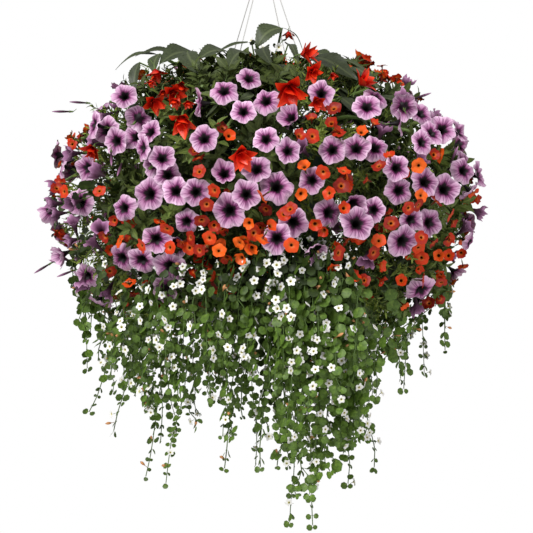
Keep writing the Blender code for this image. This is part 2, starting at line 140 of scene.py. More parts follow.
# Bacopa trails from the mix over the rim: azimuth at the rim and at the tip, then radius and
# height of the tip. The frame has the same fourteen.
MAIN_TRAILS = (
    (-174, -174, 0.354, -0.964), (-156, -157, 0.310, -0.990), (-140, -142, 0.285, -1.070),
    (-114, -124, 0.330, -1.066), (-100, -103, 0.290, -1.038), (-84, -91, 0.290, -1.034),
    (-69, -74, 0.200, -1.152), (-54, -64, 0.215, -1.156), (-24, -42, 0.205, -1.088),
    (-9, -16, 0.216, -1.070), (8, 4, 0.285, -0.850), (36, 40, 0.220, -1.060),
    (92, 96, 0.240, -1.110), (166, 152, 0.250, -1.040),
)
# More trails that leave the ball low on its front: where each leaves and where its tip hangs,
# in centimetres across and down, then the depth of the tip
LOW_TRAILS = (
    (0, 64, 0.8, 98, -26), (2, 65, 2.6, 101, -29), (4, 65, 4.2, 104, -24),
    (5, 64, 5.8, 108, -30), (7, 65, 7.2, 101, -25), (8, 65, 8.6, 107, -29),
    (10, 65, 10, 102, -23), (11, 65, 11.4, 104, -30), (13, 66, 13.2, 99, -26),
    (14, 66, 14.8, 102, -22), (16, 67, 16.4, 97, -27), (16, 67, 18.0, 99, -24),
    (17, 68, 19.2, 95, -21), (18, 69, 20.2, 91, -26), (6, 64, 6.2, 96, -34),
    (-1, 65, -3.6, 95, -26), (-4, 65, -6.0, 98, -30), (-8, 66, -9.6, 92, -25),
    (-11, 66, -12.6, 97, -24), (-15, 66, -16.5, 91, -29), (-19, 67, -20.6, 94, -24),
    (-21, 69, -24.0, 89, -26), (-24, 70, -28.0, 91, -18), (-26, 71, -31.0, 88, -14),
    (-22, 69, -24, 84, -28), (-16, 67, -17, 86, -33), (-2, 65, -2, 84, -34),
    (-6, 65, -7, 84, -36), (8, 65, 8, 92, -36), (12, 66, 13, 92, -35),
    (3, 65, 3, 90, -36), (15, 67, 15.5, 88, -33), (-12, 66, -13, 84, -35),
    (-34, 60, -37.5, 71, -6), (-31, 67, -34.5, 79, -10), (-37, 53, -41.0, 61, -4),
    (24, 71, 26.5, 82, -12),
)
BACK_TRAILS = (  # azimuth, radius of the tip and centimetres down to the tip
    (40, 0.25, 92), (52, 0.27, 98), (60, 0.31, 88), (68, 0.26, 106), (76, 0.29, 96),
    (84, 0.28, 102), (92, 0.31, 88), (98, 0.30, 98), (106, 0.27, 104), (112, 0.30, 94),
    (122, 0.28, 100), (130, 0.26, 92), (138, 0.26, 104), (146, 0.29, 90), (160, 0.28, 94),
    (20, 0.20, 90), (172, 0.24, 90), (-6, 0.19, 92), (6, 0.20, 98), (14, 0.21, 88), (28, 0.22, 96),
    (34, 0.23, 104), (46, 0.26, 90), (153, 0.27, 98), (166, 0.26, 88), (180, 0.25, 92),
)


# ---------------------------------------------------------------- small tools

def linear(code):
    """An sRGB hex colour as linear values with alpha."""
    parts = [int(code[i:i + 2], 16) / 255 for i in (1, 3, 5)]
    return (*[p / 12.92 if p <= 0.04045 else ((p + 0.055) / 1.055) ** 2.4 for p in parts], 1.0)


def add(tree, kind, sockets=None, out=0, stops=None, **settings):
    """Add a node, set what it is, fill or link its sockets, and give one of its outputs."""
    made = tree.nodes.new(kind)
    for key, value in settings.items():
        setattr(made, key, value)
    for key, value in (sockets or {}).items():
        if isinstance(value, bpy.types.NodeSocket):
            tree.links.new(value, made.inputs[key])
        else:
            made.inputs[key].default_value = value
    if stops:
        band = made.color_ramp.elements
        while len(band) < len(stops):
            band.new(0.5)
        for element, (place, code) in zip(band, stops):
            element.position = place
            element.color = linear(code)
    return made.outputs[out] if made.outputs else made


def new_material(name, roughness, **sockets):
    """A material with its shader; extra values go straight on the shader's own sockets."""
    material = bpy.data.materials.new(name)
    material.use_nodes = True
    tree = material.node_tree
    shader = tree.nodes["Principled BSDF"]
    shader.inputs["Roughness"].default_value = roughness
    for key, value in sockets.items():
        shader.inputs[key.replace("_", " ")].default_value = value
    return material, tree, shader


def tinted(tree, colour, low, high):
    """Darken or lighten a colour by its tint: a random tone from flower to flower, and on leaves
    also painted light and shade.
    """
    tint = add(tree, "ShaderNodeAttribute", out="Fac", attribute_name="tint")
    scaled = add(tree, "ShaderNodeMapRange", {"Value": tint, "To Min": low, "To Max": high})
    return add(tree, "ShaderNodeHueSaturation", {"Value": scaled, "Color": colour})


def surface_place(tree):
    """How far round and how far out a place on a flower is, or across and along on a leaf."""
    place = add(tree, "ShaderNodeUVMap", uv_map="Surface")
    split = add(tree, "ShaderNodeSeparateXYZ", {"Vector": place}).node
    return split.outputs["X"], split.outputs["Y"]


# ---------------------------------------------------------------- materials

LOBES = 5
VEINS = 48.0  # how many veins a petunia has round its rim


def petunia_petal():
    """Living petal: a soft lilac sheet with a pale rim, dark veins and a near-black throat."""
    material, tree, shader = new_material("petunia_petal", 0.55, Specular_IOR_Level=0.25)
    around, outward = surface_place(tree)
    turn = add(tree, "ShaderNodeMath", {0: around, 1: math.tau * LOBES}, operation="MULTIPLY")
    lobe = add(tree, "ShaderNodeMath", {0: turn}, operation="COSINE")
    # the throat's dark colour runs out along the middle of each of the five lobes
    ray = add(tree, "ShaderNodeMath", {0: lobe, 1: 0.050}, operation="MULTIPLY")
    teeth = add(tree, "ShaderNodeMath", {0: turn, 1: 3.0}, operation="MULTIPLY")
    teeth = add(tree, "ShaderNodeMath", {0: teeth}, operation="SINE")
    depth = add(tree, "ShaderNodeMath", {0: teeth, 1: 0.020, 2: ray}, operation="MULTIPLY_ADD")
    depth = add(tree, "ShaderNodeMath", {0: outward, 1: depth}, operation="ADD")
    base = add(tree, "ShaderNodeValToRGB", {"Fac": depth}, stops=(
        (0.0, "#070205"), (0.44, "#0E040A"), (0.50, "#320B25"), (0.57, "#762E60"),
        (0.66, "#AE749C"), (0.80, "#CB9BBD"), (0.97, "#DDBBD3"),
    ))
    # veins about 0.4 mm wide, drawn a little coarser so that they show
    across = add(tree, "ShaderNodeMath", {0: around, 1: VEINS}, operation="MULTIPLY")
    along = add(tree, "ShaderNodeMath", {0: outward, 1: 1.8}, operation="MULTIPLY")
    spread = add(tree, "ShaderNodeCombineXYZ", {"X": across, "Y": along})
    grain = add(tree, "ShaderNodeTexNoise", {"Vector": spread, "Scale": 1.0, "Detail": 2.0})
    vein = add(tree, "ShaderNodeMapRange", {
        "Value": grain, "From Min": 0.50, "From Max": 0.58, "To Max": 0.92})
    fade = add(tree, "ShaderNodeValToRGB", {"Fac": outward}, stops=(
        (0.48, "#000000"), (0.58, "#FFFFFF"), (0.75, "#D8D8D8"), (1.0, "#888888")))
    strength = add(tree, "ShaderNodeMath", {0: vein, 1: fade}, operation="MULTIPLY")
    coloured = add(tree, "ShaderNodeMix", {0: strength, 6: base, 7: linear("#5E2254")}, out=2,
                   data_type="RGBA")
    tree.links.new(tinted(tree, coloured, 0.84, 1.14), shader.inputs["Base Color"])
    return material


def million_bells_petal():
    """Small firm petal: from deep red to orange, with a yellow ring round a dark eye."""
    material, tree, shader = new_material("million_bells_petal", 0.5, Specular_IOR_Level=0.25)
    outward = surface_place(tree)[1]
    tint = add(tree, "ShaderNodeAttribute", out="Fac", attribute_name="tint")
    body = add(tree, "ShaderNodeValToRGB", {"Fac": tint}, stops=(
        (0.0, "#7A1206"), (0.4, "#AE2408"), (0.75, "#CE3A0C"), (1.0, "#E86218")))
    eye = add(tree, "ShaderNodeValToRGB", {"Fac": outward}, stops=(
        (0.0, "#2A0803"), (0.40, "#6A2006"), (0.50, "#B86014"), (0.60, "#C8581A")))
    far_out = add(tree, "ShaderNodeMapRange", {
        "Value": outward, "From Min": 0.50, "From Max": 0.68})
    base = add(tree, "ShaderNodeMix", {0: far_out, 6: eye, 7: body}, out=2, data_type="RGBA")
    tree.links.new(base, shader.inputs["Base Color"])
    return material


def petal_material(name, roughness, gloss, stops, low, high):
    """A petal whose colour changes only from its heart to its tip."""
    material, tree, shader = new_material(name, roughness, Specular_IOR_Level=gloss)
    outward = surface_place(tree)[1]
    base = add(tree, "ShaderNodeValToRGB", {"Fac": outward}, stops=stops)
    tree.links.new(tinted(tree, base, low, high), shader.inputs["Base Color"])
    return material


def leaf_material(name, dark, light, vein, roughness, low, high):
    """A living leaf: darker blade, paler midrib and soft mottling about 4 mm across."""
    material, tree, shader = new_material(name, roughness, Specular_IOR_Level=0.3)
    across = surface_place(tree)[0]
    middle = add(tree, "ShaderNodeMath", {0: across, 1: 0.5}, operation="SUBTRACT")
    middle = add(tree, "ShaderNodeMath", {0: middle}, operation="ABSOLUTE")
    rib = add(tree, "ShaderNodeMapRange", {
        "Value": middle, "From Max": 0.10, "To Min": 0.6, "To Max": 0.0})
    place = add(tree, "ShaderNodeTexCoord", out="Object")
    mottle = add(tree, "ShaderNodeTexNoise", {"Vector": place, "Scale": 250.0, "Detail": 1.0})
    blade = add(tree, "ShaderNodeMix", {0: mottle, 6: linear(dark), 7: linear(light)}, out=2,
                data_type="RGBA")
    coloured = add(tree, "ShaderNodeMix", {0: rib, 6: blade, 7: linear(vein)}, out=2,
                   data_type="RGBA")
    tree.links.new(tinted(tree, coloured, low, high), shader.inputs["Base Color"])
    return material


def plain_material(name, dark, light, roughness, scale, metallic=0.0, relief=0.0):
    """A finish with a fine mottle of two near colours, at a scale per metre."""
    material, tree, shader = new_material(name, roughness, Metallic=metallic)
    place = add(tree, "ShaderNodeTexCoord", out="Object")
    grain = add(tree, "ShaderNodeTexNoise", {"Vector": place, "Scale": scale, "Detail": 4.0})
    colour = add(tree, "ShaderNodeMix", {0: grain, 6: linear(dark), 7: linear(light)}, out=2,
                 data_type="RGBA")
    tree.links.new(colour, shader.inputs["Base Color"])
    if relief:
        raised = add(tree, "ShaderNodeBump", {"Height": grain, "Distance": relief})
        tree.links.new(raised, shader.inputs["Normal"])
    return material


# ---------------------------------------------------------------- shapes

def level(angle):
    """A level direction at an angle in radians."""
    return Vector((math.cos(angle), math.sin(angle), 0.0))


def leaning(angle, lean):
    """A direction that leans away from +Z, and the one square to it that looks up."""
    outward = level(angle)
    along = outward * math.sin(lean) + UP * math.cos(lean)
    return along, UP * math.sin(lean) - outward * math.cos(lean)


class Shape:
    """Gathers the corners and faces of one small shape, with its map and its parts."""

    def __init__(self):
        self.points = []
        self.faces = []
        self.places = []
        self.parts = []

    def strip(self, rows, part, closed=False):
        """Join rows of points into faces. The map runs across the row, then along the rows."""
        first = len(self.points)
        width = len(rows[0])
        for row in rows:
            self.points.extend(row)
        spans = width if closed else width - 1
        for i in range(len(rows) - 1):
            for j in range(spans):
                k = (j + 1) % width
                a = first + i * width
                b = a + width
                self.faces.append((a + j, b + j, b + k, a + k))
                u0, u1 = j / spans, (j + 1) / spans
                v0, v1 = i / (len(rows) - 1), (i + 1) / (len(rows) - 1)
                self.places.append(((u0, v0), (u0, v1), (u1, v1), (u1, v0)))
                self.parts.append(part)

    def cap(self, ring, part, value):
        """Close a ring of points with one face."""
        first = len(self.points)
        self.points.extend(ring)
        self.faces.append(tuple(range(first, first + len(ring))))
        self.places.append(tuple((0.5, value) for _ in ring))
        self.parts.append(part)

    def bar(self, path, radii, sides, part, ends=False):
        """A thin stem along a path."""
        rows = []
        for index, spot in enumerate(path):
            ahead = path[min(index + 1, len(path) - 1)] - path[max(index - 1, 0)]
            turn = ahead.to_track_quat("Z", "Y")
            edges = [level(-math.tau * side / sides) * radii[index] for side in range(sides)]
            rows.append([spot + turn @ edge for edge in edges])
        self.strip(rows, part, closed=True)
        if ends:
            self.cap(rows[0], part, 0.0)
            self.cap(rows[-1][::-1], part, 1.0)

    def mesh(self, name, material=None):
        """Make the mesh, in one material if one is given."""
        made = bpy.data.meshes.new(name)
        made.from_pydata([tuple(p) for p in self.points], [], self.faces)
        layer = made.uv_layers.new(name="Surface")
        flat = [value for face in self.places for corner in face for value in corner]
        layer.data.foreach_set("uv", flat)
        part = made.attributes.new("part", "INT", "FACE")
        part.data.foreach_set("value", self.parts)
        made.polygons.foreach_set("use_smooth", [True] * len(self.faces))
        if material:
            made.materials.append(material)
        return made


def flower_shape(radii, depths, steps, notch, ruffle, turn, stalk, sepal, part=BLADE):
    """A five-lobed flower that faces +Z, with its green cup and stalk behind it.

    radii and depths give the rings from the throat out. All sizes are in millimetres.
    The part says which of the planting's materials the petals take.
    """
    shape = Shape()
    rows = []
    last = len(radii) - 1
    for index, (radius, depth) in enumerate(zip(radii, depths)):
        grow = index / last
        row = []
        for step in range(steps):
            angle = math.tau * step / steps
            lobe = 0.5 - 0.5 * math.cos(LOBES * angle)
            reach = radius * (1 - notch * grow ** 4 * (1 - lobe) ** 1.5)
            reach *= 1 + 0.04 * grow ** 2 * math.sin(2 * angle + turn)
            reach *= 1 + 0.030 * grow ** 3 * math.sin(11 * angle + 3 * turn)
            lift = depth + ruffle * grow ** 3 * math.sin(8 * angle + turn)
            lift += 0.8 * ruffle * grow ** 4 * math.sin(13 * angle + 5 * turn)
            lift += 1.3 * ruffle * grow ** 2 * math.sin(3 * angle + 2 * turn)
            lift -= 0.8 * ruffle * grow * (1 - lobe)
            row.append(Vector((reach * math.cos(angle), reach * math.sin(angle), lift)) / 1000)
        rows.append(row)
    shape.strip(rows, part, closed=True)
    shape.cap(rows[0], part, 0.0)
    back = depths[0] / 1000
    throat = radii[0] / 1000
    bend = Vector((0.0015, 0, back - stalk * 0.0004))
    end = Vector((0.006, 0, back - stalk * 0.001))
    shape.bar([Vector((0, 0, back + 0.1 * throat)), bend, end],
              [throat * 0.9, throat * 0.6, throat * 0.5], 4, STALK)
    for step in range(LOBES if sepal else 0):
        side = level(math.tau * (step + 0.5) / LOBES)
        cross = Vector((-side.y, side.x, 0.0)) * sepal * 0.00014
        low = Vector((0, 0, back - 0.001)) + side * throat
        high = low + side * throat * 1.2 + Vector((0, 0, sepal / 1000))
        cross_high = cross * 0.5
        shape.strip([[low - cross, low + cross], [high - cross_high, high + cross_high]], STALK)
    return shape


def leaf_rows(base, along, face, length, width, curl, fold, shape=0.8, rows=4):
    """Rows of three points for a leaf that starts at base, runs along and faces one way."""
    along = along.normalized()
    side = along.cross(face).normalized()
    up = side.cross(along).normalized()
    made = []
    for index in range(rows + 1):
        t = index / rows
        half = 0.5 * width * math.sin(math.pi * min(0.97, t ** shape * 0.92 + 0.05))
        middle = base + along * length * t - up * length * curl * t * t
        lift = up * half * fold
        made.append([middle - side * half + lift, middle, middle + side * half + lift])
    return made


def sprig_shape(length, count, leaf_length, leaf_width, spread, seed):
    """A short leafy shoot that points along +Z."""
    pick = random.Random(seed)
    shape = Shape()
    bow = Vector((pick.uniform(-0.2, 0.2), pick.uniform(-0.2, 0.2), 1.0)).normalized()
    path = [Vector((0, 0, 0)), bow * length * 0.5, UP * length]
    shape.bar(path, [0.0012, 0.0010, 0.0007], 3, STALK)
    for index in range(count):
        t = (index + 0.6) / count
        angle = 2.4 * index + pick.uniform(-0.4, 0.4)
        along, face = leaning(angle, spread * (1.15 - 0.55 * t))
        size = (1.0 - 0.35 * t) * pick.uniform(0.8, 1.15)
        rows = leaf_rows(path[0].lerp(path[2], t), along, face, leaf_length * size,
                         leaf_width * size, pick.uniform(0.05, 0.35), 0.35, rows=3)
        shape.strip(rows, BLADE)
    return shape


def bacopa_pair(seed, size, sideways):
    """Two opposite round scalloped leaves. +Z runs down the stem and +Y faces the light."""
    pick = random.Random(seed)
    shape = Shape()
    rim_count = 14
    for side in (1, -1):
        droop = math.radians(pick.uniform(0, 60))
        if sideways:
            along = Vector((side * math.cos(droop), pick.uniform(-0.1, 0.4), math.sin(droop)))
        else:
            along = Vector((pick.uniform(-0.4, 0.4), side * 0.5, math.sin(droop) + 0.5))
        along.normalize()
        face = Vector((pick.uniform(-0.5, 0.5), 1.0, pick.uniform(-0.7, 0.1)))
        across = face.cross(along).normalized()
        face = along.cross(across)
        wide = size * pick.uniform(0.8, 1.15)
        base = along * 0.004
        middle = base + along * wide * 0.46
        rim = []
        for step in range(rim_count):
            angle = math.tau * step / rim_count
            reach = wide * 0.5 * (1.0 if step % 2 else 0.90)
            dish = face * wide * (-0.09 + 0.05 * math.sin(2 * angle + seed))
            rim.append(middle + along * reach * math.cos(angle)
                       + across * reach * math.sin(angle) * 1.08 + dish)
        first = len(shape.points)
        shape.points.append(middle)
        shape.points.extend(rim)
        for step in range(rim_count):
            after = (step + 1) % rim_count
            shape.faces.append((first, first + 1 + step, first + 1 + after))
            u0, u1 = step / rim_count, (step + 1) / rim_count
            shape.places.append(((u0, 0.0), (u0, 1.0), (u1, 1.0)))
            shape.parts.append(BLADE)
        shape.bar([Vector((0, 0, 0)), base + along * 0.001], [0.0006, 0.0005], 3, STALK)
    return shape


def begonia_flower(seed):
    """A drooping flower of long pointed petals. +Z is the way it hangs."""
    pick = random.Random(seed)
    shape = Shape()
    for index in range(9):
        angle = math.tau * index / LOBES + pick.uniform(-0.25, 0.25)
        lean = math.radians(pick.uniform(24, 52) if index < LOBES else pick.uniform(6, 24))
        along, face = leaning(angle, lean)
        length = pick.uniform(0.034, 0.046)
        rows = leaf_rows(Vector((0, 0, 0)), along, -face, length, 0.021, -0.16, -0.40, 0.95, 5)
        shape.strip(rows, BLADE)
    shape.bar([Vector((0, 0, 0.004)), Vector((0.002, 0, -0.010)), Vector((0.012, 0, -0.024))],
              [0.0030, 0.0014, 0.0011], 5, STALK)
    return shape


def shape_box(name, shapes):
    """Keep shapes ready to be planted, in the order given."""
    box = bpy.data.collections.new(name)
    for index, shape in enumerate(shapes):
        label = "%s_%02d" % (name, index)
        box.objects.link(bpy.data.objects.new(label, shape.mesh(label)))
    return box


# ---------------------------------------------------------------- planting

def new_tree(name, inputs, output):
    """An empty Geometry Nodes tree with named inputs, and the sockets that give them."""
    tree = bpy.data.node_groups.new(name, "GeometryNodeTree")
    for label, kind, value in inputs:
        socket = tree.interface.new_socket(label, in_out="INPUT", socket_type="NodeSocket" + kind)
        if value is not None:
            socket.default_value = value
    tree.interface.new_socket(output, in_out="OUTPUT", socket_type="NodeSocketGeometry")
    return tree, add(tree, "NodeGroupInput").node.outputs


def spun(tree, rotation, angle):
    """Turn a rotation further about its own Z axis."""
    about = add(tree, "FunctionNodeAxisAngleToRotation", {"Axis": UP, "Angle": angle})
    return add(tree, "FunctionNodeRotateRotation", {0: rotation, 1: about},
               rotation_space="LOCAL")


def set_out(tree, points, box, kind, rotation, scale, materials, chosen=True):
    """Set a box's shapes out on the chosen points, each of their parts in its own material."""
    shapes = add(tree, "GeometryNodeCollectionInfo", {
        "Collection": box, "Separate Children": True, "Reset Children": True})
    placed = add(tree, "GeometryNodeInstanceOnPoints", {
        "Points": points, "Selection": chosen, "Instance": shapes, "Pick Instance": True,
        "Instance Index": kind, "Rotation": rotation, "Scale": scale})
    geometry = add(tree, "GeometryNodeRealizeInstances", {"Geometry": placed})
    part = add(tree, "GeometryNodeInputNamedAttribute", {"Name": "part"}, data_type="INT")
    for index, material in enumerate(materials):
        own = add(tree, "FunctionNodeCompare", {2: part, 3: index}, data_type="INT",
                  operation="EQUAL")
        geometry = add(tree, "GeometryNodeSetMaterial", {
            "Geometry": geometry, "Selection": own, "Material": material})
    return geometry


def planting_tree(name, materials):
    """Set shapes out on spots, each with its own facing, spin, size and kind."""
    tree, given = new_tree(name, (
        ("Spots", "Geometry", None), ("Shapes", "Collection", None), ("Size", "Float", 1.0)),
        "Plants")
    read = {label: add(tree, "GeometryNodeInputNamedAttribute", {"Name": label}, data_type=kind)
            for label, kind in SPOT_VALUES if label != "tint"}
    facing = add(tree, "FunctionNodeAlignRotationToVector", {"Vector": read["facing"]}, axis="Z")
    scale = add(tree, "ShaderNodeMath", {0: read["size"], 1: given["Size"]},
                operation="MULTIPLY")
    add(tree, "NodeGroupOutput", {"Plants": set_out(
        tree, given["Spots"], given["Shapes"], read["kind"], spun(tree, facing, read["spin"]),
        scale, materials)})
    return tree


def make_piece(name, mesh, node=None):
    """Put a mesh in the scene as a piece, and hide the node of the frame it stands for."""
    piece = bpy.data.objects.new(name, mesh)
    bpy.context.scene.collection.objects.link(piece)
    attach(piece, "root")
    if node:
        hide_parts(node)


def grown(name, points, edges, attributes, tree, inputs, node=None):
    """Run a tree on points and edges and keep the result as a plain mesh."""
    seedbed = bpy.data.meshes.new(name + "_spots")
    seedbed.from_pydata([tuple(p) for p in points], edges, [])
    for (label, kind), values in attributes:
        layer = seedbed.attributes.new(label, kind, "POINT")
        if kind == "FLOAT_VECTOR":
            layer.data.foreach_set("vector", [v for value in values for v in value])
        else:
            layer.data.foreach_set("value", list(values))
    carrier = bpy.data.objects.new(name + "_carrier", seedbed)
    bpy.context.scene.collection.objects.link(carrier)
    modifier = carrier.modifiers.new("grow", "NODES")
    modifier.node_group = tree
    for item in tree.interface.items_tree:
        if item.item_type == "SOCKET" and item.in_out == "INPUT" and item.name in inputs:
            modifier[item.identifier] = inputs[item.name]
    bpy.context.view_layer.update()
    graph = bpy.context.evaluated_depsgraph_get()
    mesh = bpy.data.meshes.new_from_object(carrier.evaluated_get(graph), depsgraph=graph)
    bpy.data.objects.remove(carrier)
    for spare in ("facing", "spin", "size", "kind", "outward", "light", "bloom", "part"):
        if spare in mesh.attributes:
            mesh.attributes.remove(mesh.attributes[spare])
    mesh.name = name
    make_piece(name, mesh, node)


def planted(name, spots, box, tree, slot_name, node, size=1.0):
    """Plant shapes at spots: each spot is place, facing, spin, size, kind and tint."""
    places, *values = zip(*spots)
    grown(name, places, [], zip(SPOT_VALUES, values), tree, {"Shapes": box, "Size": size},
          node)


def clumps(spots, azimuth, count):
    """Split spots into groups of about a count that grow near each other."""
    columns = max(1, round(math.sqrt(len(spots) / count)))
    ordered = sorted(spots, key=lambda s: turn_from(s[0], azimuth))
    step = math.ceil(len(ordered) / columns)
    groups = []
    for first in range(0, len(ordered), step):
        part = sorted(ordered[first:first + step], key=lambda s: -s[0].z)
        levels = max(1, round(len(part) / count))
        each = math.ceil(len(part) / levels)
        groups += [part[i:i + each] for i in range(0, len(part), each)]
    return groups


def planted_in_clumps(name, spots, azimuth, count, *rest):
    """Plant spots as several pieces of about a count each."""
    for number, group in enumerate(clumps(spots, azimuth, count), 1):
        planted("%s_%d" % (name, number), group, *rest)


# ---------------------------------------------------------------- where things grow

SIGHT_START = 2.0  # a look at the basket starts this far from the eye
SIGHT_STEP = 0.004
PETUNIA_REACH = 0.09  # a petunia hides nothing that is farther from its middle than this
THROAT_RADIUS = 0.012
THROAT_DEPTH = 0.045
SETTLE_ROUNDS = 12
SETTLE_REACH = 0.060  # petunias nearer to each other than this are staggered
SETTLE_SIDE = 0.056  # they no longer overlap when this far apart sideways
MOST_TRIES = 6000
MOST_PETUNIAS = 240
PETUNIA_GAP = 0.054  # between the middles of petunias that are placed by chance
SMALL_BELL_TRIES = 150
MOST_BELL_TRIES = 5000
MOST_BELLS = 430
BELL_CLEARANCE = (0.042, -0.020, 0.060)  # room round a petunia's face, behind it and before it


def outline_radius(height):
    """Radius of the ball of flowers at a height."""
    if height > BALL_OUTLINE[0][0] or height < BALL_OUTLINE[-1][0]:
        return 0.0
    for (upper, wide), (lower, next_wide) in zip(BALL_OUTLINE, BALL_OUTLINE[1:]):
        if height >= lower:
            return wide + (next_wide - wide) * (upper - height) / (upper - lower)
    return 0.0


def inside_ball(spot, shrink=0.0):
    """True if a place is inside the ball of flowers."""
    return math.hypot(spot.x, spot.y / BALL_DEPTH) < outline_radius(spot.z) - shrink


def outward_from(spot):
    """The way out of the ball at a place."""
    away = spot - BALL_MIDDLE
    return Vector([part / curve for part, curve in zip(away, BALL_CURVE)]).normalized()


def on_front(across, down, sunk=0.0):
    """The place on the ball's front that shows at a number of centimetres across and down."""
    aim = Vector((across / 100, 0.0, -down / 100))
    sight = (aim - EYE).normalized()
    spot = EYE + sight * SIGHT_START
    while spot.y <= -0.02:
        spot = spot + sight * SIGHT_STEP
        if inside_ball(spot):
            return spot + sight * sunk
    return aim + Vector((0.0, -0.03, 0.0))


def random_on_ball(pick, shrink_low, shrink_high):
    """A random place in a layer below the ball's surface, as likely in each part of it."""
    weights = []
    for (upper, wide), (lower, next_wide) in zip(BALL_OUTLINE, BALL_OUTLINE[1:]):
        weights.append(math.hypot(upper - lower, wide - next_wide) * (wide + next_wide))
    band = pick.choices(range(len(weights)), weights)[0]
    (upper, wide), (lower, next_wide) = BALL_OUTLINE[band:band + 2]
    t = pick.random()
    angle = pick.uniform(0, math.tau)
    radius = wide + (next_wide - wide) * t
    spot = Vector((radius * math.cos(angle), radius * BALL_DEPTH * math.sin(angle),
                   upper + (lower - upper) * t))
    return spot - outward_from(spot) * pick.uniform(shrink_low, shrink_high)


def jitter(pick, amount):
    """A small random direction."""
    return Vector((pick.gauss(0, amount), pick.gauss(0, amount), pick.gauss(0, amount)))


def turn_from(spot, azimuth):
    """How many degrees a place lies round the basket from an azimuth, from -180 to 180."""
    return (math.degrees(math.atan2(spot.y, spot.x)) - azimuth + 180) % 360 - 180


def nearest_plant(spot, kind):
    """The plant of a kind whose middle, counted in half widths, is nearest to a place."""
    own = [plant for plant in PLANTS if plant[0].startswith(kind)]
    return min(own, key=lambda plant: abs(turn_from(spot, plant[1])) / plant[2])[0]


def note(spots, pick, place, facing, size, kind):
    """Add a spot, with a random spin and tint."""
    spots.append((place, facing.normalized(), pick.uniform(0, SPIN), size, kind, pick.random()))


def petunia_spots():
    """Every petunia bloom of the basket."""
    pick = random.Random(11)
    toward = Vector((0.0, -1.0, 0.12))
    spots = []
    for across, down, *given in PETUNIAS_OPEN:
        size = given[0] if given else pick.uniform(0.82, 1.02)
        place = on_front(across, down, pick.uniform(-0.012, 0.016))
        facing = outward_from(place) * 0.55 + toward * 0.55 + jitter(pick, 0.16)
        note(spots, pick, place, facing, size, pick.choice((0, 0, 1, 2, 3)))
    for side, group in ((-1, PETUNIAS_LEFT), (1, PETUNIAS_RIGHT)):
        for across, down in group:
            facing = Vector((side, -0.45, 0.1)) + jitter(pick, 0.15)
            note(spots, pick, on_front(across, down), facing, 0.95, pick.choice((0, 2)))
    for across, down in PETUNIAS_CUPPED:
        place = on_front(across, down, 0.010)
        facing = outward_from(place) + toward * 0.3 + jitter(pick, 0.4)
        note(spots, pick, place, facing, 0.95, 4)
    for group, kinds in ((PETUNIA_TRUMPETS, (5, 6)), (PETUNIA_BUDS, (7,))):
        for across, down, way in group:
            facing = Vector(way) + jitter(pick, 0.12)
            note(spots, pick, on_front(across, down), facing, 1.0, pick.choice(kinds))
    for across, down in PETUNIAS_TURNED:
        facing = Vector((0.2, 0.75, 0.5)) + jitter(pick, 0.25)
        note(spots, pick, on_front(across, down, -0.01), facing, 0.95, 3)
    for _ in range(MOST_TRIES):
        place = random_on_ball(pick, -0.008, 0.012)
        front = place.y < -0.06 and abs(place.x) < 0.375
        if front or place.z < -0.75 or place.z > -0.268:
            continue
        if place.z > -0.310 and place.y < 0.10:
            continue
        if any((place - other[0]).length < PETUNIA_GAP for other in spots):
            continue
        facing = outward_from(place) + UP * 0.15 + jitter(pick, 0.28)
        note(spots, pick, place, facing, pick.uniform(0.85, 1.05),
             pick.choice((0, 1, 2, 3, 3, 4, 5, 6)))
        if len(spots) > MOST_PETUNIAS:
            break
    return settled(spots)


def settled(spots):
    """Stagger overlapping blooms so that one lies in front of the other."""
    places = [s[0].copy() for s in spots]
    for _ in range(SETTLE_ROUNDS):
        for i in range(len(places)):
            for j in range(i + 1, len(places)):
                apart = places[j] - places[i]
                if apart.length > SETTLE_REACH:
                    continue
                way = (spots[i][1] + spots[j][1]).normalized()
                depth = apart.dot(way)
                lateral = (apart - way * depth).length
                wanted = 0.017 if lateral > 0.032 else 0.032
                if lateral > SETTLE_SIDE or abs(depth) >= wanted:
                    continue
                push = way * (wanted - abs(depth)) * (0.25 if depth >= 0 else -0.25)
                places[j] += push
                places[i] -= push
    return [(place, *spot[1:]) for place, spot in zip(places, spots)]


def clear_of(petunias, place, reach, near, far):
    """True if a place is clear of the face and the throat of every petunia."""
    for centre, facing, *_ in petunias:
        apart = place - centre
        if apart.length > PETUNIA_REACH:
            continue
        depth = apart.dot(facing)
        lateral = (apart - facing * depth).length
        if lateral < reach and near < depth < far:
            return False
        if lateral < THROAT_RADIUS and -THROAT_DEPTH < depth < far:
            return False
    return True


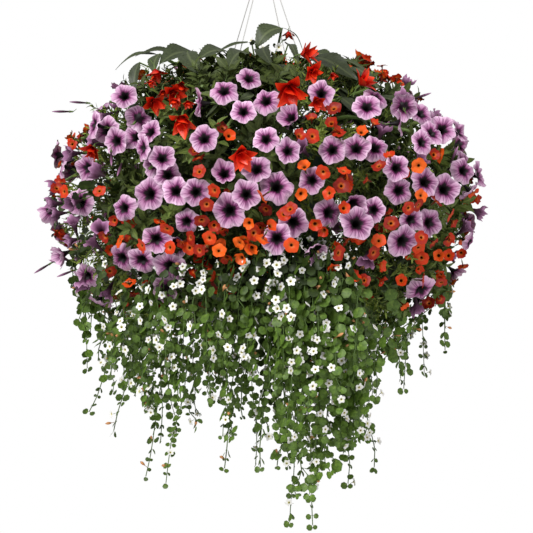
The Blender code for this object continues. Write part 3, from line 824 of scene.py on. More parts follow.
def million_bells_spots(petunias):
    """Every million bells bloom of the basket."""
    pick = random.Random(23)
    toward = Vector((0.0, -1.0, 0.2))
    spots = []
    for across, down in MILLION_BELLS:
        place = on_front(across, down, pick.uniform(-0.014, 0.004))
        for centre, way, *_ in petunias:
            if way.y > -0.5:
                continue
            apart = place - centre
            depth = apart.dot(way)
            lateral = apart - way * depth
            if lateral.length < 0.036 and abs(depth) < 0.034:
                place = place + lateral.normalized() * max(0.0, 0.026 - lateral.length)
                place = place + way * max(0.0, 0.012 - depth)
        facing = outward_from(place) * 0.6 + toward * 0.4 + jitter(pick, 0.40)
        note(spots, pick, place, facing, pick.uniform(0.9, 1.1), pick.choice((0, 1, 1, 2)))
    for _ in range(SMALL_BELL_TRIES):
        across, down = pick.uniform(-32, 38), pick.gauss(60, 9)
        place = on_front(across, down, pick.uniform(0.010, 0.040))
        facing = outward_from(place) * 0.5 + toward * 0.3 + jitter(pick, 0.5)
        if place.z > -0.765 and clear_of(petunias, place, *BELL_CLEARANCE):
            note(spots, pick, place, facing, pick.uniform(0.8, 1.0), pick.choice((0, 1, 2)))
    for _ in range(MOST_BELL_TRIES):
        if len(spots) >= MOST_BELLS:
            break
        place = random_on_ball(pick, -0.012, 0.018)
        if place.y < -0.06 or place.z < -0.76 or place.z > -0.26:
            continue
        if noise.noise(place * 9.0) < -0.08 or not clear_of(petunias, place, *BELL_CLEARANCE):
            continue
        note(spots, pick, place, outward_from(place) + jitter(pick, 0.4),
             pick.uniform(0.85, 1.1), pick.choice((0, 1, 2)))
    return spots


def foliage_spots(seed, count, shrink, spread, tint_and_shade_range, petunias, lowest):
    """Shoots all over the ball, pointing outwards and kept behind the petunias' faces."""
    pick = random.Random(seed)
    spots = []
    while len(spots) < count:
        place = random_on_ball(pick, *shrink)
        if place.z < lowest:
            continue
        facing = (outward_from(place) + UP * 0.1 + jitter(pick, spread)).normalized()
        size = pick.uniform(0.8, 1.2)
        clear = all(clear_of(petunias, place + facing * size * reach, 0.036, -0.016, 0.070)
                    for reach in (0.020, 0.040, 0.055))
        # painted shade: shoots high on the ball, under the begonia's leaves, get a darker tint
        shade = 0.35 if place.z > -0.37 else 1.0
        drawn = (pick.uniform(0, SPIN), size, pick.choice((0, 1, 2)), pick.uniform(*tint_and_shade_range) * shade)
        if clear:
            spots.append((place, facing, *drawn))
    return spots


# ---------------------------------------------------------------- bacopa

TRAIL_VALUES = (  # what each point of a trail says
    ("size", "FLOAT"), ("outward", "FLOAT_VECTOR"), ("light", "FLOAT"), ("bloom", "FLOAT"),
)
OVER_RIM = ((0.122, -0.460), (0.150, -0.438), (0.182, -0.450))  # radius and height
INSIDE_BALL = ((0.15, 0.208, -0.520), (0.35, 0.222, -0.640))  # share of the swing, then the same
SHADOW_END = -0.66  # the ball's shadow on the trails fades below this height
SHADOW_FADE = 0.12  # and is gone this much lower
BACK_TRAIL_START = -0.70
LEAFLESS_ABOVE = -0.62  # the main trails are bare inside the ball, above this height


def trail_tree(leaf, stem, petal, spent):
    """Grow bacopa on lines: stems, pairs of round leaves, white flowers and spent ones."""
    tree, given = new_tree("bacopa_growth", (
        ("Lines", "Geometry", None), ("Leaves", "Collection", None),
        ("Flowers", "Collection", None), ("Leaf Spacing", "Float", 0.0175),
        ("Flower Spacing", "Float", 0.016), ("Flower Reach", "Float", 0.013),
        ("Stem Radius", "Float", 0.0010), ("Seed", "Int", 1)), "Growth")
    seed = given["Seed"]
    read = {label: add(tree, "GeometryNodeInputNamedAttribute", {"Name": label}, data_type=kind)
            for label, kind in TRAIL_VALUES}
    drawn = {}
    for label, low, high in (("shade", 0.0, 0.55), ("wobble", -1.4, 1.4), ("vary", 0.60, 1.3),
                             ("flower tint", 0.0, 1.0), ("flower size", 0.85, 1.15)):
        drawn[label] = add(tree, "FunctionNodeRandomValue", {2: low, 3: high, "Seed": seed},
                           out=1, data_type="FLOAT")
    kind = add(tree, "FunctionNodeRandomValue", {4: 0, 5: 99, "Seed": seed}, out=2,
               data_type="INT")
    curve = add(tree, "GeometryNodeMeshToCurve", {"Mesh": given["Lines"]})
    # a leaf's tint is a random tone plus the painted light and shade that its trail carries
    tint = add(tree, "ShaderNodeMath", {0: drawn["shade"], 1: read["light"]}, operation="ADD")
    line, places = [
        add(tree, "GeometryNodeStoreNamedAttribute", {
            "Geometry": add(tree, "GeometryNodeResampleCurve", {
                "Curve": curve, "Length": given[spacing]}, mode="LENGTH"),
            "Name": "tint", "Value": value}, data_type="FLOAT", domain="POINT")
        for spacing, value in (("Leaf Spacing", tint), ("Flower Spacing", drawn["flower tint"]))]

    # each pair of leaves runs down its stem and turns to the light
    along = add(tree, "FunctionNodeAlignRotationToVector", {
        "Vector": add(tree, "GeometryNodeInputTangent")}, axis="Z")
    along = add(tree, "FunctionNodeAlignRotationToVector", {
        "Rotation": along, "Vector": read["outward"]}, axis="Y", pivot_axis="Z")
    scale = add(tree, "ShaderNodeMath", {0: drawn["vary"], 1: read["size"]},
                operation="MULTIPLY")
    leafy = add(tree, "FunctionNodeCompare", {0: scale, 1: 0.1}, data_type="FLOAT",
                operation="GREATER_THAN")
    pairs = set_out(tree, line, given["Leaves"], kind, spun(tree, along, drawn["wobble"]), scale,
                    (leaf, stem), leafy)

    # each flower stands a little way off its stem and faces mostly outwards
    stray = add(tree, "FunctionNodeRandomValue", {
        0: (-0.9, -0.9, -0.5), 1: (0.9, 0.9, 0.7), "Seed": seed}, data_type="FLOAT_VECTOR")
    facing = add(tree, "ShaderNodeVectorMath", {0: read["outward"], 1: stray}, operation="ADD")
    facing = add(tree, "ShaderNodeVectorMath", {0: facing}, operation="NORMALIZE")
    offset = add(tree, "ShaderNodeVectorMath", {0: facing, "Scale": given["Flower Reach"]},
                 operation="SCALE")
    places = add(tree, "GeometryNodeSetPosition", {"Geometry": places, "Offset": offset})
    blooming = add(tree, "FunctionNodeRandomValue", {
        "Probability": read["bloom"], "Seed": seed}, out=3, data_type="BOOLEAN")
    facing = add(tree, "FunctionNodeAlignRotationToVector", {"Vector": facing}, axis="Z")
    heads = set_out(tree, places, given["Flowers"], kind, facing, drawn["flower size"],
                    (petal, stem, spent), blooming)

    profile = add(tree, "GeometryNodeCurvePrimitiveCircle", {
        "Resolution": 4, "Radius": given["Stem Radius"]})
    stems = add(tree, "GeometryNodeCurveToMesh", {
        "Curve": line, "Profile Curve": profile, "Fill Caps": True})
    stems = add(tree, "GeometryNodeSetMaterial", {"Geometry": stems, "Material": stem})
    joined = tree.nodes.new("GeometryNodeJoinGeometry")
    for part in (stems, pairs, heads):
        tree.links.new(part, joined.inputs[0])
    add(tree, "NodeGroupOutput", {"Growth": joined.outputs[0]})
    return tree


def smooth_path(points, count):
    """Points spaced along a smooth curve that passes through the given ones."""
    spots = [Vector(p) for p in points]
    spots = [spots[0] * 2 - spots[1]] + spots + [spots[-1] * 2 - spots[-2]]
    spans = len(spots) - 3
    path = []
    for index in range(count):
        place = index / (count - 1) * spans
        span = min(int(place), spans - 1)
        t = place - span
        a, b, c, d = spots[span:span + 4]
        path.append(
            0.5 * (2 * b + (c - a) * t + (2 * a - 5 * b + 4 * c - d) * t ** 2
                   + (3 * b - a - 3 * c + d) * t ** 3)
        )
    return path


def polar(azimuth, radius, height):
    """A place from its azimuth in degrees, radius and height."""
    turn = math.radians(azimuth)
    return Vector((radius * math.cos(turn), radius * math.sin(turn), height))


def main_path(rim, tip, reach, depth):
    """A trail from the potting mix, over the rim and down inside the ball to its tip."""
    swing = tip - rim
    low = depth + 0.45 * (-0.560 - depth)
    route = [polar(rim, radius, height) for radius, height in OVER_RIM]
    route += [polar(rim + share * swing, radius, height) for share, radius, height in INSIDE_BALL]
    route += [polar(rim + 0.75 * swing, reach * 0.40 + 0.125, low), polar(tip, reach, depth)]
    return smooth_path(route, 40)


def hanging_path(start, tip, seed):
    """A trail that leaves the ball low down and hangs to its tip."""
    pick = random.Random(seed)
    root = Vector((start.x * 0.75, start.y * 0.75, start.z + 0.030))
    bend = start.lerp(tip, 0.35) + Vector((pick.uniform(-0.012, 0.012), 0.0, 0.0))
    curl = tip + Vector((pick.uniform(-0.01, 0.01), 0.0, 0.06))
    return smooth_path((root, start, bend, curl, tip), 24)


def wavy(path, seed, amount):
    """Shake a path a little, more towards its tip."""
    made = []
    for index, spot in enumerate(path):
        t = index / (len(path) - 1)
        x = noise.noise((seed * 3.1, index * 0.30, 0.0))
        y = noise.noise((seed * 3.1, index * 0.30, 9.0))
        made.append(spot + Vector((x, y, 0.0)) * amount * min(1.0, 3 * t))
    return made


def shoots(path, seed, count):
    """Side shoots that leave a trail and hang beside it."""
    pick = random.Random(seed)
    made = []
    for _ in range(count):
        first = int(pick.uniform(0.30, 0.80) * len(path))
        length = pick.uniform(0.06, 0.16)
        side = level(pick.uniform(0, math.tau)) * pick.uniform(0.012, 0.028)
        base = path[first]
        down = UP * -min(length, base.z - path[-1].z)
        made.append(smooth_path((base, base + side * 0.8 + down * 0.25,
                                 base + side * 1.15 + down), 10))
    return made


def bacopa(number, path, shoot_count, light, bloom, boxes, tree, start, node):
    """One bacopa stem with its side shoots, leaves and flowers as one piece."""
    lines = [wavy(path, number, 0.016)]
    lines += shoots(lines[0], number + 500, shoot_count)
    points, edges, values = [], [], []
    for line in lines:
        first = len(points)
        for index, spot in enumerate(line):
            t = index / (len(line) - 1)
            points.append(spot)
            outward = Vector((spot.x, spot.y, 0.0)).normalized() + UP * 0.15
            # painted light and shade: the ball's painted shadow darkens a trail above SHADOW_END,
            # and the trail's lightness and random clumps lighten it
            open_air = min(1.0, max(0.0, (SHADOW_END - spot.z) / SHADOW_FADE))
            clump = max(0.0, noise.noise((number * 2.3, spot.z * 16.0, 8.0)))
            shadow = 0.35 * (1.0 - open_air)
            painted_light_and_shadow = light * (0.3 + 0.7 * open_air) + 0.5 * clump * (light > 0.1) - shadow
            cluster = max(0.0, 0.6 + 1.8 * noise.noise((number * 1.7, spot.z * 14.0, 3.0)))
            size = 1.05 - 0.45 * t ** 3
            bare = spot.z >= start
            values.append((0.0 if bare else size, outward, painted_light_and_shadow, 0.0 if bare else bloom * cluster))
            if index:
                edges.append((first + index - 1, first + index))
    grown("bacopa_%02d" % number, points, edges, zip(TRAIL_VALUES, zip(*values)), tree,
          {"Leaves": boxes[0], "Flowers": boxes[1], "Seed": number}, node)


# ---------------------------------------------------------------- begonia

def begonia_leaf(number, base, tip, face, width, curl, material, node):
    """A long pointed leaf with a toothed edge, one side wider than the other."""
    pick = random.Random(number)
    length = (tip - base).length
    along = (tip - base).normalized()
    side = along.cross(Vector(face)).normalized()
    up = side.cross(along).normalized()
    fold = pick.uniform(0.1, 0.3)
    rows = []
    count, spans = 24, 8
    for index in range(count + 1):
        t = index / count
        outline = math.sin(math.pi * min(1.0, t ** 0.72)) ** 0.85
        tooth = 1.0 + 0.06 * ((index % 2) * 2 - 1) * math.sin(math.pi * t)
        middle = base + along * length * t + up * length * curl * math.sin(math.pi * t)
        middle += side * length * 0.05 * math.sin(math.pi * t)
        row = []
        for span in range(spans + 1):
            s = span / spans * 2 - 1
            half = 0.5 * width * (1.15 if s > 0 else 0.85)
            reach = s * half * outline * (tooth if abs(s) > 0.99 else 1.0)
            lift = abs(s) ** 1.3 * fold * half * outline
            wave = 0.035 * width * math.sin(11 * t + 3 * s) * abs(s)
            row.append(middle + side * reach + up * (lift + wave))
        rows.append(row)
    shape = Shape()
    shape.strip(rows, BLADE)
    name = "begonia_leaf_%02d" % number
    mesh = shape.mesh(name, material)
    tint = mesh.attributes.new("tint", "FLOAT", "POINT")
    tint.data.foreach_set("value", [pick.random()] * len(mesh.vertices))
    make_piece(name, mesh, node)


def begonia_leaf_shape(length, width, seed):
    """A plainer begonia leaf for the mass on top. It grows along +X and faces +Z."""
    shape = Shape()
    rows = []
    for index in range(7):
        t = index / 6
        half = 0.5 * width * math.sin(math.pi * min(1.0, t ** 0.72)) ** 0.85
        drop = -0.30 * length * t * t
        lift = 0.25 * half
        middle = length * t
        rows.append([Vector((middle, -half * 1.1, drop + lift)), Vector((middle, 0.0, drop)),
                     Vector((middle, half * 0.9, drop + lift + 0.003 * math.sin(9 * t + seed)))])
    shape.strip(rows, BLADE)
    shape.bar([Vector((-0.020, 0.0, -0.030)), Vector((0.0, 0.0, 0.0))], [0.0016, 0.0012], 4,
              STALK)
    return shape


# ---------------------------------------------------------------- the basket's materials

# galvanised wire: dull pale grey with a faint spangle
wire = plain_material("galvanised_wire", "#C4C3BE", "#E4E3E0", 0.38, 900.0, metallic=0.5,
                      relief=0.00005)
# moulded polypropylene: dark green, slightly waxy
plastic = plain_material("moulded_polypropylene", "#16281B", "#203826", 0.45, 400.0,
                         relief=0.0001)
# damp potting mix: crumbs of dark peat about 3 mm across
mix = plain_material("damp_potting_mix", "#120C08", "#3A2A1E", 0.95, 330.0, relief=0.003)
# living stem: fresh green with a fine down
stem = plain_material("downy_green_stem", "#3E5522", "#6D8540", 0.6, 300.0)
bacopa_stem = plain_material("thin_green_stem", "#33491C", "#5E7A34", 0.6, 300.0)
lilac = petunia_petal()
# outside of a petunia: dull violet-brown funnel that pales towards the rim
outside = petal_material("petunia_outside", 0.65, 0.15, (
    (0.0, "#2A1A1E"), (0.35, "#36202C"), (0.60, "#663E5A"), (0.85, "#98688C"),
    (1.0, "#BA8CAE")), 0.75, 1.15)
orange = million_bells_petal()
# fleshy waxy red petal with a soft shine
red = petal_material("begonia_petal", 0.35, 0.4, (
    (0.0, "#A01008"), (0.5, "#D81C0C"), (1.0, "#F04A20")), 0.75, 1.1)
# thin white petal round a small yellow-green eye
white = petal_material("bacopa_petal", 0.6, 0.2, (
    (0.0, "#6A5A10"), (0.20, "#A89A2C"), (0.33, "#D9D6A0"), (0.48, "#EFEDE8"),
    (1.0, "#F6F5F2")), 0.80, 1.02)
# spent petal: papery, faded to salmon
faded = petal_material("spent_petal", 0.8, 0.1, ((0.0, "#9A6A3A"), (1.0, "#D59A6A")), 0.8, 1.1)
# soft sticky petunia leaf, mid green
petunia_leaf = leaf_material("petunia_leaf", "#38481C", "#6C7C38", "#84924A", 0.6, 0.30, 1.30)
# small firm leaf of million bells, fresh yellow-green
bells_leaf = leaf_material("million_bells_leaf", "#4C5C20", "#8E9E42", "#A4B054", 0.5, 0.30, 1.35)
# smooth matt bacopa leaf, bright green
bacopa_leaf = leaf_material("bacopa_leaf", "#304A16", "#6C8A34", "#7E9842", 0.5, 0.08, 1.20)
# begonia leaf: thick, dark olive green with a satin shine
dark_leaf = leaf_material("begonia_leaf", "#262E1E", "#505A3C", "#6C7550", 0.48, 0.55, 1.15)

# ---------------------------------------------------------------- the basket's shapes and plants

# Each flower: the rings' radii and depths in mm, corners round, notch, ruffle, turn, stalk, cup
RINGS = (1.6, 3.6, 7.0, 13.5, 22, 29.5)
petunia_shapes = shape_box("petunia_shapes", [flower_shape(*numbers) for numbers in (
    (RINGS, (-30, -14, -4, -0.5, 0.6, -1.4), 40, 0.13, 1.5, 0.0, 12, 9),
    (RINGS, (-30, -14, -4, -0.3, 0.9, -0.3), 40, 0.16, 1.8, 1.3, 12, 9),
    (RINGS, (-30, -14, -4, -0.5, 1.6, 2.6), 40, 0.15, 2.0, 2.1, 12, 9),
    (RINGS, (-30, -14, -3.5, 0.5, -0.6, -7.0), 40, 0.15, 2.0, 0.7, 12, 9),
    ((1.6, 3.6, 6.5, 12.5, 19, 25), (-30, -14, -5, -1, 4, 12), 40, 0.16, 2.0, 1.9, 12, 9),
    # half-open trumpets, which show their dark outside, and a furled bud
    ((1.5, 3.0, 4.8, 8.0, 13, 19), (-34, -20, -9, -1, 5, 8), 30, 0.20, 2.2, 0.9, 10, 9, OTHER),
    ((1.5, 3.0, 5.2, 9.0, 15, 17), (-32, -18, -8, -1, 3, 10), 30, 0.24, 2.6, 2.6, 10, 9, OTHER),
    ((1.1, 1.8, 2.5, 2.6, 1.9, 0.6), (-22, -12, -2, 6, 14, 21), 10, 0, 0, 0, 8, 9, OTHER),
)])
BELL_RINGS = (0.9, 1.6, 3.0, 9, 14.5)
bell_shapes = shape_box("bell_shapes", [flower_shape(*numbers) for numbers in (
    (BELL_RINGS, (-16, -5, -1, 0.4, -0.8), 20, 0.12, 0.8, 0.0, 7, 5),
    (BELL_RINGS, (-16, -5, -1, 0.6, 0.8), 20, 0.14, 1.1, 1.1, 7, 5),
    ((0.9, 1.7, 3.4, 8, 12), (-16, -6, -1, 2.0, 5), 20, 0.14, 1.2, 2.0, 7, 5),
)])
# three petunia sprigs, then two of million bells: length, leaves, their length, width, spread
sprig_shapes = shape_box("sprig_shapes", [sprig_shape(*numbers) for numbers in (
    (0.036, 7, 0.034, 0.016, 1.15, 1), (0.042, 8, 0.030, 0.014, 1.0, 2),
    (0.032, 6, 0.038, 0.019, 1.2, 3), (0.036, 12, 0.017, 0.006, 1.0, 4),
    (0.042, 13, 0.015, 0.005, 0.9, 5),
)])
pair_shapes = shape_box("pair_shapes", [
    bacopa_pair(seed, 0.0180, seed % 3 < 2) for seed in range(9)])
small_flowers = [
    flower_shape((0.6, 1.8, 4.8, 8.0), (-4, -0.6, 0.2, turn), 20, 0.34, 0.3, turn, 9, 0)
    for turn in (0.0, 1.1, -0.9)
]
shape_of_spent = Shape()
shape_of_spent.bar([Vector((0, 0, z / 1000)) for z in (-13, -4, -3, 0, 4, 8)],
                   [0.0004, 0.0005, 0.0010, 0.0022, 0.0026, 0.0008], 5, OTHER)
small_flower_shapes = shape_box("small_flower_shapes", small_flowers + [shape_of_spent])

flower_planting = planting_tree("petunia_planting", (lilac, stem, outside))
bell_planting = planting_tree("million_bells_planting", (orange, stem, stem))
petunia_foliage = planting_tree("petunia_foliage", (petunia_leaf, stem, stem))
bells_foliage = planting_tree("million_bells_foliage", (bells_leaf, stem, stem))
bacopa_growth = trail_tree(bacopa_leaf, bacopa_stem, white, faded)

BLOOM_SIZE = 0.95
petunias = petunia_spots()
bells = million_bells_spots(petunias)
# the kind of plant, then its blooms, their shapes, tree and slot, and how many make a piece
for kind, spots, box, tree, slot_name, count in (
        ("petunia", petunias, petunia_shapes, flower_planting, "lilac_petal", 9),
        ("million_bells", bells, bell_shapes, bell_planting, "orange_petal", 28)):
    for plant, azimuth, _ in PLANTS:
        if plant.startswith(kind):
            own = [s for s in spots if plant == nearest_plant(s[0], kind)]
            planted_in_clumps(plant + "_blooms", own, azimuth, count, box, tree, slot_name,
                              plant + "_canopy", BLOOM_SIZE)

SHOOTS_IN_A_PIECE = 80
LEAF_SPREAD = 0.45  # how much the shoots stray from the way out of the ball
# name, seed, number of shoots, how deep they start, how light they are, with painted shade making
# the deep inner layer dark, and the lowest place
LAYERS = (
    ("shoots", 31, 900, (0.038, 0.075), (0.45, 1.0), -1.0),
    ("shoulder_shoots", 43, 130, (0.040, 0.070), (0.30, 0.9), -0.36),
    ("inner_shoots", 37, 1250, (0.075, 0.200), (0.0, 0.35), -1.0),
)
for layer, seed, count, shrink, tint_and_shade_range, lowest in LAYERS:
    spots = foliage_spots(seed, count, shrink, LEAF_SPREAD, tint_and_shade_range, petunias, lowest)
    for plant, azimuth, _ in PLANTS:
        own = [s for s in spots if plant == nearest_plant(s[0], "")]
        foliage = petunia_foliage
        if plant.startswith("million_bells"):
            own = [(*s[:4], 3 + s[4] % 2, s[5]) for s in own]
            foliage = bells_foliage
        planted_in_clumps("%s_%s" % (plant, layer), own, azimuth, SHOOTS_IN_A_PIECE,
                          sprig_shapes, foliage, "green_stem", plant + "_canopy")

# Bacopa: the path of each trail, how many side shoots it has, its lightness, which is painted light
# and shade, and its bloom
trails = [(main_path(*trail), 3, 0.30, 0.30) for trail in MAIN_TRAILS]


def hang(start, tip, shoot_count, light, bloom):
    """Add a trail that hangs from the ball."""
    trails.append((hanging_path(start, tip, len(trails) + 1), shoot_count, light, bloom))


for across, down, tip_across, tip_down, tip_depth in LOW_TRAILS:
    start = on_front(across, down, 0.01)
    tip = Vector((tip_across / 100, tip_depth / 100, -tip_down / 100))
    hang(start, tip, 2 if tip_down > 83 else 0, 0.40, 0.42)
    number = len(trails)
    if number % 3 or across < -8:
        continue
    # a trail behind this one, painted darker as if in its shade
    number += 1
    away = Vector((0.012 - 0.024 * (number % 4 > 1), 0.07, 0.08 + 0.03 * (number % 3)))
    hang(start, tip + away, 2, 0.0, 0.2)
# two short shoots that grow up through the begonia
for lean, rise in ((0.035, -0.238), (-0.012, -0.246)):
    route = ((0.0, -0.03, -0.340), (lean * 0.6, -0.07, -0.280), (lean, -0.09, rise))
    trails.append((smooth_path(route, 12), 0, 0.4, 0.8))
for azimuth, reach, down in BACK_TRAILS:
    start = polar(azimuth, outline_radius(BACK_TRAIL_START) - 0.01, BACK_TRAIL_START)
    hang(start, polar(azimuth, reach, -down / 100), 2, 0.35, 0.45)
for number, trail in enumerate(trails, 1):
    main = number <= len(MAIN_TRAILS)
    bacopa(number, *trail, (pair_shapes, small_flower_shapes), bacopa_growth,
           LEAFLESS_ABOVE if main else 0.0, "bacopa_trail_%02d" % number if main else None)

# Begonia leaves: the frame's leaf that each stands for, its base and tip in centimetres across
# and down, the depth of base and tip in metres, the way it faces, its width and how it arches
BEGONIA_LEAVES = (
    ("top", (3.4, 20.8), (-1.6, 25.4), -0.050, -0.075, (-0.3, -0.9, 0.3), 0.042, 0.18),
    ("top", (3.6, 20.8), (7.6, 25.8), -0.052, -0.070, (0.5, -0.2, 0.8), 0.010, 0.16),
    ("top", (-2.4, 23.7), (-9.4, 26.4), -0.060, -0.090, (0.0, -0.5, 0.9), 0.013, 0.05),
    ("top", (0.6, 25.5), (1.6, 31.0), -0.100, -0.230, (-0.2, -0.9, 0.4), 0.030, 0.12),
    ("top", (4.6, 25.0), (6.6, 31.2), -0.100, -0.225, (0.3, -0.9, 0.4), 0.020, 0.12),
    ("far_left", (-20.6, 26.8), (-28.8, 29.6), -0.100, -0.085, (-0.1, -0.5, 0.9), 0.016, 0.14),
    ("left", (-17.0, 26.6), (-24.8, 27.2), -0.110, -0.100, (0.0, -0.6, 0.8), 0.018, 0.10),
    ("left", (-20.0, 27.0), (-20.6, 31.5), -0.120, -0.170, (-0.2, -0.9, 0.2), 0.024, 0.06),
    ("left", (-24.0, 28.5), (-24.6, 34.6), -0.110, -0.130, (-0.3, -0.9, 0.1), 0.022, 0.06),
    ("left", (-13.0, 27.2), (-19.5, 30.2), -0.130, -0.190, (-0.1, -0.8, 0.6), 0.044, 0.12),
    ("left", (-14.5, 27.0), (-11.5, 32.8), -0.150, -0.225, (0.0, -0.9, 0.5), 0.040, 0.10),
    ("left", (-18.0, 25.2), (-14.0, 27.4), -0.090, -0.100, (0.1, -0.6, 0.8), 0.014, 0.05),
    ("back", (-6.0, 27.0), (-12.5, 29.5), -0.120, -0.190, (-0.1, -0.7, 0.7), 0.040, 0.12),
    ("back", (-3.0, 26.8), (-6.5, 31.0), -0.120, -0.210, (0.0, -0.9, 0.5), 0.034, 0.10),
    ("right", (9.4, 28.0), (17.4, 33.6), -0.150, -0.215, (0.2, -0.8, 0.6), 0.052, 0.12),
    ("right", (9.0, 26.8), (14.0, 29.0), -0.120, -0.150, (0.1, -0.6, 0.8), 0.036, 0.12),
    ("far_right", (13.8, 27.6), (20.6, 31.2), -0.110, -0.140, (0.2, -0.5, 0.9), 0.018, 0.08),
    ("far_right", (17.0, 29.6), (21.5, 35.0), -0.130, -0.200, (0.3, -0.8, 0.5), 0.030, 0.10),
)
CROWN = Vector((0.0, 0.0, -0.440))
STALK_RADIUS = 0.0020
STALK_STEPS = 14
stalks = Shape()
for number, entry in enumerate(BEGONIA_LEAVES, 1):
    node, first, last, near, far, face, width, curl = entry
    base = Vector((first[0] / 100, near, -first[1] / 100))
    tip = Vector((last[0] / 100, far, -last[1] / 100))
    begonia_leaf(number, base, tip, face, width, curl, dark_leaf, "begonia_leaf_" + node)
    path = smooth_path((CROWN, CROWN.lerp(base, 0.6) + UP * 0.02, base), STALK_STEPS)
    radii = [STALK_RADIUS * (1.25 - 0.5 * i / (STALK_STEPS - 1)) for i in range(STALK_STEPS)]
    stalks.bar(path, radii, 6, BLADE, ends=True)
make_piece("begonia_stalks", stalks.mesh("begonia_stalks", stem), "begonia_stems")

begonia_leaf_shapes = shape_box("begonia_leaf_shapes", [
    begonia_leaf_shape(0.080, 0.040, 1), begonia_leaf_shape(0.065, 0.036, 2),
    begonia_leaf_shape(0.090, 0.030, 3)])
begonia_foliage = planting_tree("begonia_foliage", (dark_leaf, stem, stem))
MASS_COUNT = 110
MASS_RADIUS = 0.28
pick = random.Random(41)
mass = []
while len(mass) < MASS_COUNT:
    azimuth, reach = pick.uniform(-180, 180), MASS_RADIUS * math.sqrt(pick.random())
    place = polar(azimuth, reach, -0.280 - 0.60 * max(0.0, reach - 0.10) ** 1.1)
    facing = UP + Vector((place.x, place.y, 0)) * 2.2 + jitter(pick, 0.22)
    spin, size, kind, tint = (pick.uniform(0, SPIN), pick.uniform(0.5, 1.0),
                              pick.choice((0, 1, 2)), pick.random())
    if clear_of(petunias, place, 0.040, -0.01, 0.070):
        mass.append((place, facing.normalized(), spin, size, kind, tint))
planted_in_clumps("begonia_foliage", mass, -90.0, 24, begonia_leaf_shapes, begonia_foliage,
                  "dark_leaf", "begonia_leaf_back")

# centimetres across and down, way it hangs, size, and the frame's flower it stands for
BEGONIA_FLOWERS = (
    ((5.0, 32.4), (0.1, -0.8, -0.8), 1.15, "front"),
    ((-16.4, 38.4), (0.0, -0.6, -0.9), 1.0, "left"),
    ((-5.0, 45.6), (0.3, -0.8, -0.6), 0.95, "front"),
    ((7.2, 26.2), (1.0, -0.3, 0.0), 0.85, "front"),
    ((19.0, 32.4), (0.8, -0.4, 0.6), 0.85, "front"),
    ((-18.5, 33.6), (0.3, -0.7, -0.5), 0.8, "left"),
    ((-22.4, 35.4), (0.4, -0.7, -0.5), 0.75, "left"),
    ((-21.8, 29.0), (0.1, -0.3, -1.0), 0.7, "left"),
    ((4.8, 22.0), (0.1, -0.3, -1.0), 0.45, "front"),
    ((9.4, 29.4), (0.3, -0.8, -0.4), 0.7, "front"),
    ((10.4, 35.4), (0.2, -0.8, -0.5), 0.6, "front"),
    ((-34.2, 44.6), (-0.2, -0.6, -0.8), 0.7, "left"),
    ((-16.6, 31.8), (0.0, -0.5, -0.9), 0.6, "left"),
    ((-22.7, 31.2), (0.1, -0.3, -1.0), 0.4, "left"),
    ((-20.4, 33.2), (0.2, -0.4, -1.0), 0.45, "left"),
    ((-17.8, 34.8), (-0.1, -0.4, -1.0), 0.45, "left"),
    ((-15.3, 35.4), (0.1, -0.5, -0.9), 0.4, "left"),
    ((13.6, 29.8), (0.3, -0.4, -0.9), 0.4, "front"),
)
FLOWER_NAMES = (
    "one", "two", "three", "four", "five", "six", "seven", "eight", "nine", "ten", "eleven",
    "twelve", "thirteen", "fourteen", "fifteen", "sixteen", "seventeen", "eighteen",
)
BACK_FLOWERS = (  # name, azimuth, radius and kind
    ("back_one", 66, 0.21, 0), ("back_two", 112, 0.24, 0), ("back_three", 20, 0.19, 2),
    ("back_four", 150, 0.16, 1),
)
flower_boxes = shape_box("begonia_flower_shapes", [begonia_flower(seed) for seed in range(4)])
red_planting = planting_tree("begonia_planting", (red, stem, stem))
pick = random.Random(5)
flowers = []
for number, ((across, down), facing, size, node) in enumerate(BEGONIA_FLOWERS):
    place = on_front(across, down - 1.0, -0.012)
    note(flowers, pick, place, Vector(facing), size, number % 4)
for name, spot, entry in zip(FLOWER_NAMES, flowers, BEGONIA_FLOWERS):
    planted("begonia_flower_" + name, [spot], flower_boxes, red_planting, "red_petal",
            "begonia_flower_" + entry[-1])
for name, azimuth, reach, kind in BACK_FLOWERS:
    place = polar(azimuth, reach, -0.272)
    facing = (outward_from(place) - UP * 0.9).normalized()
    planted("begonia_flower_" + name, [(place, facing, 1.0, 1.0, kind, 0.5)], flower_boxes,
            red_planting, "red_petal", "begonia_flower_back")

for box in (petunia_shapes, bell_shapes, sprig_shapes, pair_shapes, small_flower_shapes,
            flower_boxes, begonia_leaf_shapes):
    for item in list(box.objects):
        bpy.data.objects.remove(item)
    bpy.data.collections.remove(box)

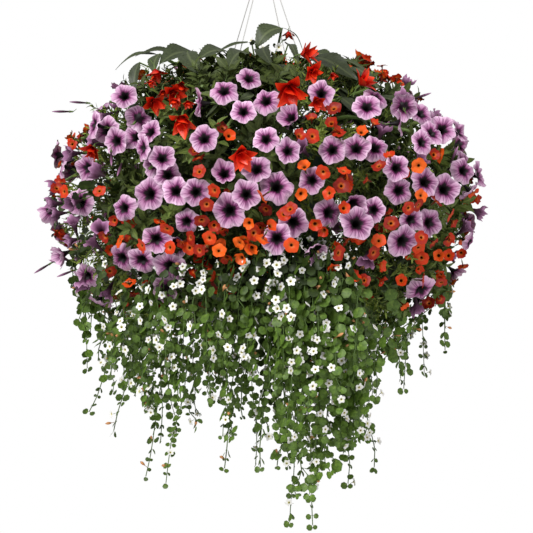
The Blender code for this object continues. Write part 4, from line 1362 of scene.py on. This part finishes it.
for name, item in frame["nodes"].items():
    finish = stem
    if name == "hook" or name.startswith("strand"):
        finish = wire
    if name == "pot":
        finish = plastic
    if name == "potting_mix":
        finish = mix
    item.data.materials.clear()
    item.data.materials.append(finish)

# ---------------------------------------------------------------- floor, light and camera

FLOOR_RADIUS = 4.2
FLOOR_HEIGHT = -2.1
floor_shape = Shape()
floor_shape.cap([polar(6 * i, FLOOR_RADIUS, FLOOR_HEIGHT) for i in range(60)], BLADE, 0.0)
pale = new_material("pale_matt_floor", 0.9, Base_Color=linear("#F2F2F0"))[0]
floor = bpy.data.objects.new("floor", floor_shape.mesh("floor", pale))
bpy.context.scene.collection.objects.link(floor)


def soft_light(name, place, size, power):
    """A large square light that shines on the middle of the basket."""
    lamp = bpy.data.lights.new(name, "AREA")
    lamp.size = size
    lamp.energy = power
    item = bpy.data.objects.new(name, lamp)
    item.location = place
    aim = Vector((0.0, 0.0, -0.6)) - Vector(place)
    item.rotation_euler = aim.to_track_quat("-Z", "Y").to_euler()
    bpy.context.scene.collection.objects.link(item)


soft_light("key", (-1.7, -2.8, 1.7), 1.6, 150.0)
soft_light("fill", (2.4, -2.6, 0.2), 2.4, 45.0)

world = bpy.data.worlds.new("studio")
world.use_nodes = True
tree = world.node_tree
tree.nodes.clear()
ray = add(tree, "ShaderNodeLightPath", out="Is Camera Ray")
around = add(tree, "ShaderNodeBackground", {"Color": (1, 1, 1, 1), "Strength": 0.36})
behind = add(tree, "ShaderNodeBackground", {"Color": (1, 1, 1, 1), "Strength": 1.0})
both = add(tree, "ShaderNodeMixShader", {0: ray, 1: around, 2: behind})
add(tree, "ShaderNodeOutputWorld", {"Surface": both})
bpy.context.scene.world = world
bpy.context.scene.view_settings.view_transform = "Standard"

camera = bpy.data.objects.new("camera", bpy.data.cameras.new("camera"))
camera.data.lens = 90
camera.data.sensor_width = 36
camera.location = EYE
camera.rotation_euler = (math.radians(90), 0.0, 0.0)
bpy.context.scene.collection.objects.link(camera)
bpy.context.scene.camera = camera

bpy.context.view_layer.update()
